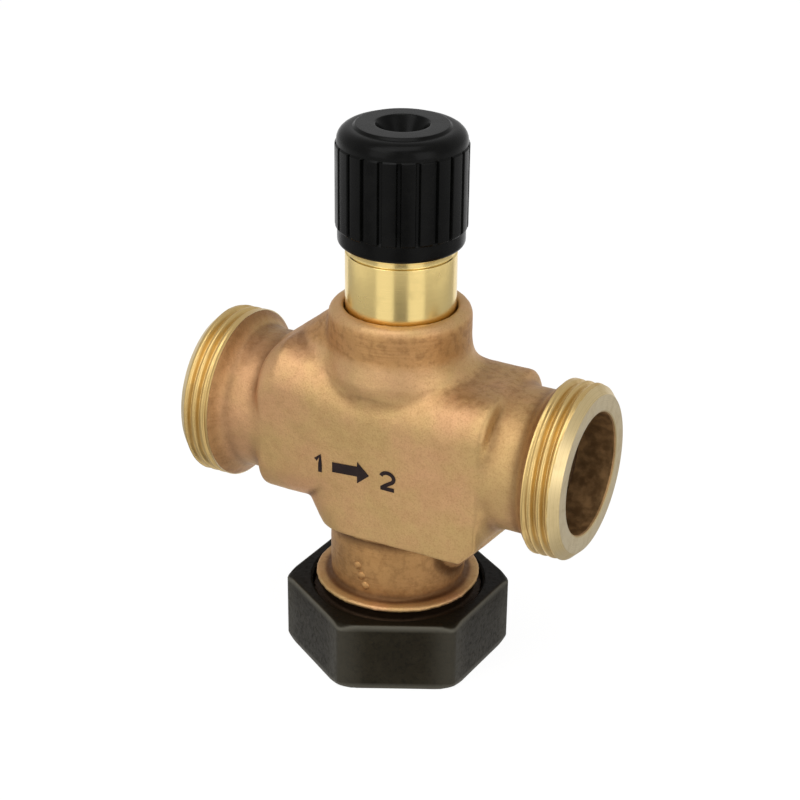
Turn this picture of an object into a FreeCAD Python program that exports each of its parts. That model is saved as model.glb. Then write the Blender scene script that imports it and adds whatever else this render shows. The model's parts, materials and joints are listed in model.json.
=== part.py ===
import FreeCAD, Part
import math
import os
from types import SimpleNamespace

import Sketcher

# Two-way seat valve: a bronze casting with three threaded ports, the bottom one blanked off by a
# union nut, and a brass bonnet with a sprung stem that a ribbed hand knob screws down.
# Millimetres and degrees. Z is the stem's axis, X runs through the side ports towards the outlet,
# and the union nut stands on Z = 0. Levels inside the casting count from the ports' axis.

SIZES = {
    # side ports
    "face_to_face": 100.0,
    "thread_diameter": 41.91,
    "thread_length": 8.6,
    "thread_lead_in": 1.7,
    "flange_bevel": 1.8,
    "port_bore": 29.2,
    "port_wall": 2.7,
    "port_bore_depth": 33.0,
    "neck_fillet": 1.7,
    # bottom port
    "bottom_reach": 50.0,
    "bottom_thread_length": 7.0,
    "bottom_relief_width": 3.2,
    "bottom_relief_depth": 2.2,
    "bottom_flange_height": 1.25,
    "bottom_flange_step": 0.65,
    "bottom_flange_round": 0.5,
    "bottom_bore": 26.0,
    "bottom_wall": 3.5,
    # block between the ports
    "block_length": 60.4,
    "block_depth": 35.2,
    "block_height": 36.0,
    "block_round": 9.5,
    "block_edge_round": 1.2,
    "shoulder_rise": 4.2,
    "shoulder_end_rise": 1.0,
    "shoulder_slope_run": 5.5,
    "shoulder_root": 4.8,
    "drop_root_width": 38.0,
    "drop_root_depth": 16.0,
    "drop_foot_width": 30.8,
    "drop_depth": 22.5,
    "web_reach": 24.7,
    "web_heel": 17.9,
    "web_round": 2.0,
    "inlet_ridge_radius": 13.0,
    "inlet_ridge_slope": 38.0,
    "inlet_ridge_out": 16.5,
    "inlet_ridge_up": 12.8,
    "outlet_ridge_radius": 9.0,
    "outlet_ridge_slope": 48.5,
    "outlet_ridge_out": 15.7,
    "outlet_ridge_down": 21.5,
    "ridge_length": 14.0,
    # boss on top
    "boss_height": 32.8,
    "boss_wall": 3.5,
    "boss_edge_round": 2.4,
    "boss_fillet": 4.4,
    "socket_depth": 8.3,
    "socket_clearance": 0.4,
    # seat and passages
    "seat_bore": 17.0,
    "seat_level": 2.0,
    "seat_thickness": 4.0,
    "middle_chamber": 23.0,
    "middle_chamber_depth": 18.0,
    "passage_diameter": 12.0,
    "passage_step": 0.5,
    # bonnet
    "bonnet_rise": 25.2,
    "bonnet_thread_diameter": 26.44,
    "bonnet_thread_step": 0.17,
    "bonnet_thread_length": 10.5,
    "bonnet_groove_width": 1.6,
    "bonnet_groove_depth": 0.45,
    "bonnet_shoulder": 1.05,
    "bonnet_spigot_length": 7.5,
    "bonnet_floor": 7.0,
    "bonnet_pocket": 18.0,
    "bonnet_gasket_thickness": 1.0,
    "spigot_clearance": 0.1,
    # stem and its gland
    "stem_diameter": 8.0,
    "stem_clearance": 0.05,
    "stem_spigot": 6.0,
    "stem_spare": 0.5,
    "gland_length": 13.5,
    "gland_clearance": 0.05,
    "ring_section": 2.1,
    "ring_room": 0.15,
    "ring_spacing": 5.0,
    # spring and its seats
    "stroke": 5.5,
    "washer_thickness": 1.0,
    "washer_play": 0.3,
    "spring_wire": 1.6,
    "spring_turns": 5.0,
    "spring_diameter": 13.2,
    "collar_diameter": 16.6,
    "collar_thickness": 2.5,
    "collar_drop": 2.0,
    "clip_thickness": 0.8,
    "clip_width": 1.9,
    "clip_depth": 0.5,
    # plug under the seat
    "plug_diameter": 20.4,
    "plug_thickness": 7.0,
    "plug_seal_width": 2.7,
    "plug_seal_height": 2.6,
    "plug_seal_inset": 0.4,
    "plug_seal_proud": 0.7,
    "seat_clearance": 0.1,
    "plug_nose_height": 7.5,
    "plug_nose_tip": 10.5,
    "plug_nose_waist": 13.0,
    "plug_washer_diameter": 13.0,
    "plug_washer_thickness": 1.2,
    "plug_nut_flats": 10.0,
    "plug_nut_height": 5.0,
    "spigot_overhang": 1.2,
    "hub_clearance": 0.05,
    # knob
    "knob_wall": 2.0,
    "knob_clearance": 0.1,
    "knob_skirt": 19.6,
    "knob_roof": 8.8,
    "knob_shoulder_round": 3.2,
    "knob_foot_height": 4.6,
    "knob_foot_inset": 0.5,
    "knob_foot_round": 1.2,
    "knob_rim_inset": 0.35,
    "knob_rim_height": 4.6,
    "knob_cap_diameter": 22.6,
    "knob_cap_rise": 0.6,
    "knob_dish_diameter": 12.6,
    "knob_dish_floor": 6.4,
    "knob_dish_depth": 5.2,
    "groove_count": 22,
    "groove_width": 0.9,
    "groove_depth": 0.75,
    "pad_diameter": 12.0,
    "pad_thickness": 3.5,
    "thrust_gap": 0.1,
    # union nut and what it clamps
    "nut_wall": 2.945,
    "nut_corner_round": 2.2,
    "nut_height": 17.9,
    "nut_shoulder": 3.0,
    "nut_lip": 5.205,
    "nut_thread_clearance": 0.25,
    "nut_mouth_bevel": 0.6,
    "nut_bevel_angle": 30.0,
    "nut_bevel_land": 2.05,
    "nut_turn": 56.6,
    "blank_thickness": 4.0,
    "blank_play": 0.4,
    "blank_gasket_thickness": 2.0,
}

doc = FreeCAD.newDocument("two_way_valve")
sheet = doc.addObject("Spreadsheet::Sheet", "Sizes")


class Size:
    """A formula over the sheet's cells, with what it comes to."""

    def __init__(self, text, value):
        self.text = text
        self.value = float(value)

    def joined(self, sign, other, value):
        return Size("(%s %s %s)" % (self.text, sign, other.text), value)

    def __add__(self, other):
        other = as_size(other)
        return self.joined("+", other, self.value + other.value)

    def __sub__(self, other):
        other = as_size(other)
        return self.joined("-", other, self.value - other.value)

    def __mul__(self, other):
        other = as_size(other)
        return self.joined("*", other, self.value * other.value)

    def __truediv__(self, other):
        other = as_size(other)
        return self.joined("/", other, self.value / other.value)

    def __neg__(self):
        return Size("(0 - %s)" % self.text, -self.value)


def as_size(thing):
    return thing if isinstance(thing, Size) else Size(repr(float(thing)), thing)


def cosine(angle):
    return Size("cos(%s * 1 deg)" % angle.text, math.cos(math.radians(angle.value)))


def sine(angle):
    return Size("sin(%s * 1 deg)" % angle.text, math.sin(math.radians(angle.value)))


def tangent(angle):
    return Size("tan(%s * 1 deg)" % angle.text, math.tan(math.radians(angle.value)))


def fill_sheet():
    found = {}
    for row, (name, value) in enumerate(SIZES.items(), start=1):
        sheet.set("A%d" % row, name)
        sheet.set("B%d" % row, repr(value))
        sheet.setAlias("B%d" % row, name)
        found[name] = Size("Sizes.%s" % name, value)
    doc.recompute()
    return SimpleNamespace(**found)


size = fill_sheet()
ZERO = as_size(0.0)
EDGE_TOLERANCE = 0.01
PARTS = []


# Building blocks

def bind(thing, path, amount):
    thing.setExpression(path, as_size(amount).text)


def new_body(label):
    body = doc.addObject("PartDesign::Body", label)
    body.Label = label
    PARTS.append(body)
    return body


def new_sketch(body, name, role, offset=None):
    """A sketch on one of the body's own planes, moved along the plane's normal."""
    sketch = body.newObject("Sketcher::SketchObject", name)
    plane = next(f for f in body.Origin.OriginFeatures if f.Role == role)
    sketch.AttachmentSupport = [(plane, "")]
    sketch.MapMode = "FlatFace"
    if offset is not None:
        bind(sketch, "AttachmentOffset.Base.z", offset)
    return sketch


def constrain(sketch, amount, *terms):
    index = sketch.addConstraint(Sketcher.Constraint(*terms, amount.value))
    bind(sketch, "Constraints[%d]" % index, amount)


def pin_point(sketch, geometry, point, across, along):
    constrain(sketch, across, "DistanceX", -1, 1, geometry, point)
    constrain(sketch, along, "DistanceY", -1, 1, geometry, point)


def corner_arc(before, corner, after, radius):
    """Start, end, centre and turn of the arc that rounds a corner."""
    back = (before - corner).normalize()
    ahead = (after - corner).normalize()
    half = math.acos(max(-1.0, min(1.0, back.dot(ahead)))) / 2.0
    reach = radius / math.tan(half)
    centre = corner + (back + ahead).normalize() * (radius / math.sin(half))
    left_turn = back.cross(ahead).z < 0.0
    return corner + back * reach, corner + ahead * reach, centre, left_turn


def draw_outline(sketch, corners):
    """Closed outline of straight runs. A corner is (across, along) or (across, along, radius)."""
    corners = [[as_size(part) for part in corner] for corner in corners]
    count = len(corners)
    points = [FreeCAD.Vector(c[0].value, c[1].value, 0.0) for c in corners]
    arcs = {}
    for i, corner in enumerate(corners):
        if len(corner) == 3:
            arcs[i] = corner_arc(points[i - 1], points[i], points[(i + 1) % count], corner[2].value)
    for i in range(count):
        after = (i + 1) % count
        start = arcs[i][1] if i in arcs else points[i]
        end = arcs[after][0] if after in arcs else points[after]
        sketch.addGeometry(Part.LineSegment(start, end), False)
    for i, corner in enumerate(corners):
        if i in arcs:
            round_corner(sketch, (i - 1) % count, i, corner, points[i], arcs[i])
        else:
            sketch.addConstraint(Sketcher.Constraint("Coincident", (i - 1) % count, 2, i, 1))
            pin_point(sketch, i, 1, corner[0], corner[1])


def round_corner(sketch, before, after, corner, point, arc):
    """Tangent arc between two runs, which still meet at the corner that sets the size."""
    start, end, centre, left_turn = arc
    circle = Part.Circle(centre, FreeCAD.Vector(0, 0, 1), corner[2].value)
    first, last = (start, end) if left_turn else (end, start)
    angles = [math.atan2(p.y - centre.y, p.x - centre.x) for p in (first, last)]
    arc_index = sketch.addGeometry(Part.ArcOfCircle(circle, *angles), False)
    mark = sketch.addGeometry(Part.Point(point), True)
    entry, leave = (1, 2) if left_turn else (2, 1)
    sketch.addConstraint(Sketcher.Constraint("Tangent", before, 2, arc_index, entry))
    sketch.addConstraint(Sketcher.Constraint("Tangent", after, 1, arc_index, leave))
    sketch.addConstraint(Sketcher.Constraint("PointOnObject", mark, 1, before))
    sketch.addConstraint(Sketcher.Constraint("PointOnObject", mark, 1, after))
    constrain(sketch, corner[2], "Radius", arc_index)
    pin_point(sketch, mark, 1, corner[0], corner[1])


def draw_circle(sketch, across, along, diameter):
    across, along = as_size(across), as_size(along)
    centre = FreeCAD.Vector(across.value, along.value, 0.0)
    circle = Part.Circle(centre, FreeCAD.Vector(0, 0, 1), diameter.value / 2.0)
    index = sketch.addGeometry(circle, False)
    pin_point(sketch, index, 3, across, along)
    constrain(sketch, diameter, "Diameter", index)


def turn(body, name, corners, axis="V_Axis", cut=False):
    """Turned form from half a section, about the stem's axis or the ports' axis."""
    sketch = new_sketch(body, name + "_section", "XZ_Plane")
    draw_outline(sketch, corners)
    kind = "PartDesign::Groove" if cut else "PartDesign::Revolution"
    feature = body.newObject(kind, name)
    feature.Profile = sketch
    feature.ReferenceAxis = (sketch, [axis])
    feature.Angle = 360.0
    return feature


def pad(body, name, sketch, length, both_ways=False):
    feature = body.newObject("PartDesign::Pad", name)
    feature.Profile = sketch
    feature.SideType = "Symmetric" if both_ways else "One side"
    bind(feature, "Length", length)
    return feature


def pocket(body, name, sketch, length, upward):
    """Cut along the sketch's normal when upward, else against it."""
    feature = body.newObject("PartDesign::Pocket", name)
    feature.Profile = sketch
    feature.Reversed = upward
    bind(feature, "Length", length)
    return feature


def turned_piece(label, level, corners):
    """A piece that is one turned solid, drawn from its own base up and set at its level."""
    body = new_body(label)
    turn(body, label + "_turned", corners)
    bind(body, "Placement.Base.z", level)
    return body


def ring(label, level, inner, outer, height):
    """Flat ring between two diameters."""
    return turned_piece(label, level, [
        (inner / 2, ZERO),
        (outer / 2, ZERO),
        (outer / 2, height),
        (inner / 2, height),
    ])


def seal_ring(label, level, middle_diameter):
    """Ring of a round section, centred on its level."""
    return turned_piece(label, level, polygon(8, size.ring_section, ZERO, centre=middle_diameter / 2))


def polygon(sides, flats, turn_angle, corner_round=None, centre=ZERO):
    """Corners of a regular polygon from its width across flats."""
    half_side = as_size(180.0 / sides)
    reach = flats / 2 / cosine(half_side)
    corners = []
    for i in range(sides):
        angle = turn_angle + half_side * (2 * i + 1)
        corner = (centre + reach * cosine(angle), reach * sine(angle))
        corners.append(corner if corner_round is None else corner + (corner_round,))
    return corners


# Levels that several pieces share

axis_level = size.nut_shoulder + size.blank_thickness + size.blank_gasket_thickness + size.bottom_reach
boss_level = axis_level + size.boss_height
socket_level = boss_level - size.socket_depth
bonnet_seat_level = socket_level + size.bonnet_gasket_thickness
bonnet_base_level = bonnet_seat_level - size.bonnet_spigot_length
pocket_level = bonnet_base_level + size.bonnet_floor
bonnet_top_level = boss_level + size.bonnet_rise
washer_level = pocket_level + size.gland_length
collar_level = bonnet_top_level - size.collar_drop
stem_top_level = bonnet_top_level + size.stroke + size.stem_spare
pad_level = stem_top_level + size.thrust_gap
ceiling_level = pad_level + size.pad_thickness
knob_level = ceiling_level - size.knob_skirt
seal_top_level = axis_level + size.seat_level - size.seat_clearance
plug_face_level = seal_top_level - size.plug_seal_proud
plug_level = plug_face_level - size.plug_thickness
nose_level = plug_face_level + size.plug_nose_height
plug_washer_level = plug_level - size.plug_washer_thickness
plug_nut_level = plug_washer_level - size.plug_nut_height
stem_level = plug_nut_level - size.spigot_overhang

# Diameters that several pieces share

neck_diameter = size.port_bore + size.port_wall * 2
bottom_neck_diameter = size.bottom_bore + size.bottom_wall * 2
lead_in_diameter = size.thread_diameter - size.thread_lead_in * 2
bonnet_diameter = size.bonnet_thread_diameter - size.bonnet_thread_step * 2
upper_chamber = bonnet_diameter - size.bonnet_shoulder * 2
socket_diameter = bonnet_diameter + size.socket_clearance * 2
boss_diameter = socket_diameter + size.boss_wall * 2
stem_bore = size.stem_diameter + size.stem_clearance * 2
hub_bore = size.stem_spigot + size.hub_clearance * 2
gland_diameter = size.bonnet_pocket - size.gland_clearance * 2
knob_bore = size.bonnet_thread_diameter + size.knob_clearance * 2
knob_diameter = knob_bore + size.knob_wall * 2
nut_bore = size.thread_diameter + size.nut_thread_clearance * 2
nut_flats = nut_bore + size.nut_wall * 2
nut_hole = nut_bore - size.nut_lip * 2
ring_middle = stem_bore + size.ring_section
ring_groove = ring_middle + size.ring_section + size.ring_room


# Valve body: the casting and its machining

def block_section(body, name, offset, rise, inset):
    """Cross-section of the bar between the ports: its top raised, all of it drawn in by the inset."""
    sketch = new_sketch(body, name, "YZ_Plane", offset)
    half = size.block_depth / 2 - inset
    low = inset - size.block_height / 2
    high = size.block_height / 2 - inset + rise
    corner = size.block_round - inset
    draw_outline(sketch, [
        (-half, low, corner),
        (half, low, corner),
        (half, high, corner),
        (-half, high, corner),
    ])
    return sketch


def drop_section(body, name, depth, width):
    """Plan of the part that drops from the bar to the bottom neck."""
    sketch = new_sketch(body, name, "XY_Plane", -depth)
    draw_outline(sketch, [
        (-width / 2, -size.block_depth / 2, size.block_round),
        (width / 2, -size.block_depth / 2, size.block_round),
        (width / 2, size.block_depth / 2, size.block_round),
        (-width / 2, size.block_depth / 2, size.block_round),
    ])
    return sketch


def loft(body, name, sections):
    feature = body.newObject("PartDesign::AdditiveLoft", name)
    feature.Profile = sections[0]
    feature.Sections = sections[1:]
    feature.Ruled = True


def ridge(body, name, middle, slope, radius):
    """Round ridge over a slanted flow passage, from the port's side towards the stem's axis."""
    sketch = new_sketch(body, name + "_section", "XZ_Plane")
    out, up = middle
    run = cosine(slope)
    climb = sine(slope)
    back = -size.ridge_length
    ahead = size.ridge_length
    draw_outline(sketch, [
        (out + back * run, up + back * climb),
        (out + ahead * run, up + ahead * climb),
        (out + ahead * run - radius * climb, up + ahead * climb + radius * run),
        (out + back * run - radius * climb, up + back * climb + radius * run),
    ])
    feature = body.newObject("PartDesign::Revolution", name)
    feature.Profile = sketch
    feature.ReferenceAxis = (sketch, ["Edge1"])
    feature.Angle = 360.0


def blend(body, name, radius, cylinder):
    """Fillet along the edges, other than round ones, that lie on a cylinder about the stem's axis."""
    base = body.Tip
    chosen = []
    for number, edge in enumerate(base.Shape.Edges, start=1):
        points = edge.discretize(7)
        away = max(abs(math.hypot(p.x, p.y) - cylinder) for p in points)
        rise = max(p.z for p in points) - min(p.z for p in points)
        if away < EDGE_TOLERANCE < rise:
            chosen.append("Edge%d" % number)
    feature = body.newObject("PartDesign::Fillet", name)
    feature.Base = (base, chosen)
    bind(feature, "Radius", radius)


def port_flange(end, sign):
    """Half section of one side port from its end face to the neck."""
    crest = size.thread_diameter / 2
    back = end - size.thread_length * sign
    seat = back - size.flange_bevel * sign
    return [
        (end, ZERO),
        (end, lead_in_diameter / 2),
        (end - size.thread_lead_in * sign, crest),
        (back, crest),
        (seat, crest - size.flange_bevel),
        (seat, neck_diameter / 2, size.neck_fillet),
    ]


def valve_body():
    body = new_body("valve_body")
    half_block = size.block_length / 2
    edge = size.block_edge_round
    full = half_block - edge
    crown = size.shoulder_slope_run - half_block
    loft(body, "bar", [
        block_section(body, "bar_inlet_end", -half_block, ZERO, edge),
        block_section(body, "bar_inlet_edge", -full, ZERO, ZERO),
        block_section(body, "bar_outlet_edge", full, ZERO, ZERO),
        block_section(body, "bar_outlet_end", half_block, ZERO, edge),
    ])
    turn(body, "boss", [
        (ZERO, ZERO),
        (boss_diameter / 2, ZERO),
        (boss_diameter / 2, size.boss_height, size.boss_edge_round),
        (ZERO, size.boss_height),
    ])
    doc.recompute()
    blend(body, "boss_blend", size.boss_fillet, boss_diameter.value / 2)
    loft(body, "shoulder", [
        block_section(body, "shoulder_root", -size.shoulder_root, ZERO, ZERO),
        block_section(body, "shoulder_crown", crown, size.shoulder_rise, ZERO),
        block_section(body, "shoulder_edge", -full, size.shoulder_end_rise, ZERO),
        block_section(body, "shoulder_end", -half_block, ZERO, edge),
    ])
    loft(body, "drop", [
        drop_section(body, "drop_foot", size.drop_depth, size.drop_foot_width),
        drop_section(body, "drop_root", size.drop_root_depth, size.drop_root_width),
        drop_section(body, "drop_top", ZERO, size.drop_root_width),
    ])

    web = new_sketch(body, "web_outline", "XZ_Plane")
    draw_outline(web, [
        (ZERO, ZERO),
        (ZERO, -size.drop_depth),
        (size.web_reach, -size.drop_depth, size.web_round),
        (full, -size.web_heel),
        (full, ZERO),
    ])
    pad(body, "web", web, size.block_depth, both_ways=True)

    inlet_middle = (-size.inlet_ridge_out, size.inlet_ridge_up)
    ridge(body, "inlet_ridge", inlet_middle, size.inlet_ridge_slope, size.inlet_ridge_radius)
    outlet_middle = (size.outlet_ridge_out, -size.outlet_ridge_down)
    ridge(body, "outlet_ridge", outlet_middle, size.outlet_ridge_slope, size.outlet_ridge_radius)

    inlet = port_flange(-size.face_to_face / 2, -1.0)
    outlet = port_flange(size.face_to_face / 2, 1.0)
    turn(body, "side_ports", inlet + outlet[::-1], axis="H_Axis")

    floor = -size.bottom_reach
    crest = size.thread_diameter / 2
    relief = crest - size.bottom_relief_depth
    flange = crest - size.bottom_flange_step
    thread_end = floor + size.bottom_thread_length
    flange_low = thread_end + size.bottom_relief_width
    flange_high = flange_low + size.bottom_flange_height
    turn(body, "barrel", [
        (ZERO, floor),
        (lead_in_diameter / 2, floor),
        (crest, floor + size.thread_lead_in),
        (crest, thread_end),
        (relief, thread_end),
        (relief, flange_low),
        (flange, flange_low),
        (flange, flange_high, size.bottom_flange_round),
        (bottom_neck_diameter / 2, flange_high),
        (bottom_neck_diameter / 2, ZERO),
        (ZERO, ZERO),
    ])

    bore_end = size.face_to_face / 2 - size.port_bore_depth
    for name, sign in (("inlet", -1.0), ("outlet", 1.0)):
        mouth = size.face_to_face / 2 * sign
        turn(body, name + "_bore", [
            (mouth, ZERO),
            (mouth, size.port_bore / 2),
            (bore_end * sign, size.port_bore / 2),
            (bore_end * sign, ZERO),
        ], axis="H_Axis", cut=True)

    seat_top = size.seat_level + size.seat_thickness
    turn(body, "stem_bores", [
        (ZERO, floor),
        (size.bottom_bore / 2, floor),
        (size.bottom_bore / 2, -size.middle_chamber_depth),
        (size.middle_chamber / 2, -size.middle_chamber_depth),
        (size.middle_chamber / 2, size.seat_level),
        (size.seat_bore / 2, size.seat_level),
        (size.seat_bore / 2, seat_top),
        (upper_chamber / 2, seat_top),
        (upper_chamber / 2, size.boss_height - size.socket_depth),
        (socket_diameter / 2, size.boss_height - size.socket_depth),
        (socket_diameter / 2, size.boss_height),
        (ZERO, size.boss_height),
    ], cut=True)

    reach = bore_end + size.neck_fillet
    passage_offset = size.passage_diameter / 2 + size.passage_step
    inlet_hole = new_sketch(body, "inlet_passage_plan", "YZ_Plane")
    draw_circle(inlet_hole, ZERO, seat_top + passage_offset, size.passage_diameter)
    pocket(body, "inlet_passage", inlet_hole, reach, upward=False)
    outlet_hole = new_sketch(body, "outlet_passage_plan", "YZ_Plane")
    draw_circle(outlet_hole, ZERO, size.seat_level - passage_offset, size.passage_diameter)
    pocket(body, "outlet_passage", outlet_hole, reach, upward=True)
    bind(body, "Placement.Base.z", axis_level)


# Bonnet, with the pocket for the gland and the spring

def bonnet():
    base = bonnet_base_level
    seat = bonnet_seat_level - base
    top = bonnet_top_level - base
    thread_start = top - size.bonnet_thread_length
    groove_start = thread_start - size.bonnet_groove_width
    outer = bonnet_diameter / 2
    waist = outer - size.bonnet_groove_depth
    thread = size.bonnet_thread_diameter / 2
    spigot = upper_chamber / 2 - size.spigot_clearance
    bevel = size.bonnet_groove_width
    turned_piece("bonnet", base, [
        (stem_bore / 2, ZERO),
        (spigot, ZERO),
        (spigot, seat),
        (outer, seat),
        (outer, groove_start),
        (waist, groove_start),
        (waist, thread_start),
        (thread, thread_start),
        (thread, top - bevel),
        (thread - bevel, top),
        (size.bonnet_pocket / 2, top),
        (size.bonnet_pocket / 2, size.bonnet_floor),
        (stem_bore / 2, size.bonnet_floor),
    ])
    gasket_bore = upper_chamber + size.spigot_clearance
    ring("bonnet_gasket", socket_level, gasket_bore, bonnet_diameter, size.bonnet_gasket_thickness)


# Gland bush and the seals it holds

def gland():
    bore = stem_bore / 2
    groove = ring_groove / 2
    width = size.ring_section + size.ring_room
    lower = (size.gland_length - size.ring_spacing) / 2
    upper = lower + size.ring_spacing
    outer = gland_diameter / 2
    waist = outer - size.ring_section
    middle = size.gland_length / 2
    turned_piece("gland_bush", pocket_level, [
        (bore, ZERO),
        (outer, ZERO),
        (outer, middle - width / 2),
        (waist, middle - width / 2),
        (waist, middle + width / 2),
        (outer, middle + width / 2),
        (outer, size.gland_length),
        (bore, size.gland_length),
        (bore, upper + width / 2),
        (groove, upper + width / 2),
        (groove, upper - width / 2),
        (bore, upper - width / 2),
        (bore, lower + width / 2),
        (groove, lower + width / 2),
        (groove, lower - width / 2),
        (bore, lower - width / 2),
    ])
    seal_ring("stem_o_ring_lower", pocket_level + lower, ring_middle)
    seal_ring("stem_o_ring_upper", pocket_level + upper, ring_middle)
    seal_ring("gland_o_ring", pocket_level + middle, gland_diameter - size.ring_section)


# Stem with a spigot for the plug below and a spigot for the collar above

def stem():
    shaft = size.stem_diameter / 2
    spigot = size.stem_spigot / 2
    shoulder = nose_level - stem_level
    collar_seat = collar_level - stem_level
    clip_low = collar_seat + size.collar_thickness
    clip_high = clip_low + size.clip_thickness
    top = stem_top_level - stem_level
    turned_piece("stem", stem_level, [
        (ZERO, ZERO),
        (spigot, ZERO),
        (spigot, shoulder),
        (shaft, shoulder),
        (shaft, collar_seat),
        (spigot, collar_seat),
        (spigot, clip_low),
        (spigot - size.clip_depth, clip_low),
        (spigot - size.clip_depth, clip_high),
        (spigot, clip_high),
        (spigot, top - size.clip_depth),
        (spigot - size.clip_depth, top),
        (ZERO, top),
    ])


# Return spring between the washer on the gland and the collar on the stem

def spring_set():
    washer_bore = size.stem_diameter + size.washer_play * 2
    washer_diameter = size.bonnet_pocket - size.washer_play * 2
    ring("spring_washer", washer_level, washer_bore, washer_diameter, size.washer_thickness)
    ring("spring_collar", collar_level, hub_bore, size.collar_diameter, size.collar_thickness)
    clip_level = collar_level + size.collar_thickness
    clip_bore = size.stem_spigot - size.clip_depth * 2 + size.hub_clearance * 2
    ring("collar_clip", clip_level, clip_bore, clip_bore + size.clip_width * 2, size.clip_thickness)

    foot = washer_level + size.washer_thickness + size.spring_wire / 2
    rise = collar_level - size.spring_wire / 2 - foot
    helix = doc.addObject("Part::Helix", "spring_line")
    bind(helix, "Radius", size.spring_diameter / 2)
    bind(helix, "Height", rise)
    bind(helix, "Pitch", rise / size.spring_turns)
    wire = doc.addObject("Sketcher::SketchObject", "spring_wire_section")
    wire.Placement.Rotation = FreeCAD.Rotation(FreeCAD.Vector(1, 0, 0), 90)
    draw_outline(wire, polygon(8, size.spring_wire, ZERO, centre=size.spring_diameter / 2))
    sweep = doc.addObject("Part::Sweep", "return_spring")
    sweep.Label = "return_spring"
    sweep.Sections = [wire]
    sweep.Spine = (helix, ["Edge1"])
    sweep.Solid = True
    sweep.Frenet = True
    bind(sweep, "Placement.Base.z", foot)
    PARTS.append(sweep)


# Plug, its seal and what holds it on the stem

def plug_set():
    outer = size.plug_diameter / 2
    seal_outer = outer - size.plug_seal_inset
    seal_inner = seal_outer - size.plug_seal_width
    face = size.plug_thickness
    seal_depth = size.plug_seal_height - size.plug_seal_proud
    turned_piece("plug", plug_level, [
        (hub_bore / 2, ZERO),
        (outer, ZERO),
        (outer, face),
        (seal_outer, face),
        (seal_outer, face - seal_depth),
        (seal_inner, face - seal_depth),
        (seal_inner, face),
        (size.plug_nose_waist / 2, face),
        (size.plug_nose_tip / 2, face + size.plug_nose_height),
        (hub_bore / 2, face + size.plug_nose_height),
    ])
    seal_level = plug_face_level - seal_depth
    seal_bore = (seal_inner + size.hub_clearance) * 2
    seal_diameter = (seal_outer - size.hub_clearance) * 2
    ring("plug_seal", seal_level, seal_bore, seal_diameter, size.plug_seal_height)
    ring("plug_washer", plug_washer_level, hub_bore, size.plug_washer_diameter, size.plug_washer_thickness)
    nut = new_body("plug_nut")
    plan = new_sketch(nut, "plug_nut_plan", "XY_Plane")
    draw_outline(plan, polygon(6, size.plug_nut_flats, ZERO))
    draw_circle(plan, ZERO, ZERO, hub_bore)
    pad(nut, "plug_nut_block", plan, size.plug_nut_height)
    bind(nut, "Placement.Base.z", plug_nut_level)


# Knob with its grip grooves, and the pad in its roof

def knob():
    body = new_body("knob")
    outer = knob_diameter / 2
    foot = outer - size.knob_foot_inset
    rim = outer - size.knob_rim_inset
    height = size.knob_skirt + size.knob_roof
    rim_level = height - size.knob_rim_height
    deck = height - size.knob_cap_rise
    cap = size.knob_cap_diameter / 2
    dish = size.knob_dish_diameter / 2
    turn(body, "knob_turned", [
        (knob_bore / 2, ZERO),
        (foot, ZERO, size.knob_foot_round),
        (foot, size.knob_foot_height - size.knob_foot_inset),
        (outer, size.knob_foot_height),
        (outer, rim_level),
        (rim, rim_level + size.knob_rim_inset),
        (rim, deck, size.knob_shoulder_round),
        (cap, deck),
        (cap - size.knob_cap_rise, height),
        (dish, height),
        (size.knob_dish_floor / 2, height - size.knob_dish_depth),
        (ZERO, height - size.knob_dish_depth),
        (ZERO, size.knob_skirt),
        (knob_bore / 2, size.knob_skirt),
    ])
    slot = new_sketch(body, "grip_slot", "XY_Plane", size.knob_foot_height - size.knob_foot_inset)
    side = size.groove_width / 2
    draw_outline(slot, [
        (outer - size.groove_depth, -side),
        (outer + size.groove_depth, -side),
        (outer + size.groove_depth, side),
        (outer - size.groove_depth, side),
    ])
    groove_length = rim_level + size.knob_rim_inset - size.knob_foot_height + size.knob_foot_inset
    cut = pocket(body, "grip_groove", slot, groove_length, upward=True)
    grip = body.newObject("PartDesign::PolarPattern", "grip")
    grip.Originals = [cut]
    grip.Axis = (slot, ["N_Axis"])
    grip.Angle = 360.0
    bind(grip, "Occurrences", size.groove_count)
    body.Tip = grip
    bind(body, "Placement.Base.z", knob_level)
    turned_piece("thrust_pad", pad_level, [
        (ZERO, ZERO),
        (size.pad_diameter / 2, ZERO),
        (size.pad_diameter / 2, size.pad_thickness),
        (ZERO, size.pad_thickness),
    ])


# Union nut, with the disc and the gasket that close the bottom port

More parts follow.
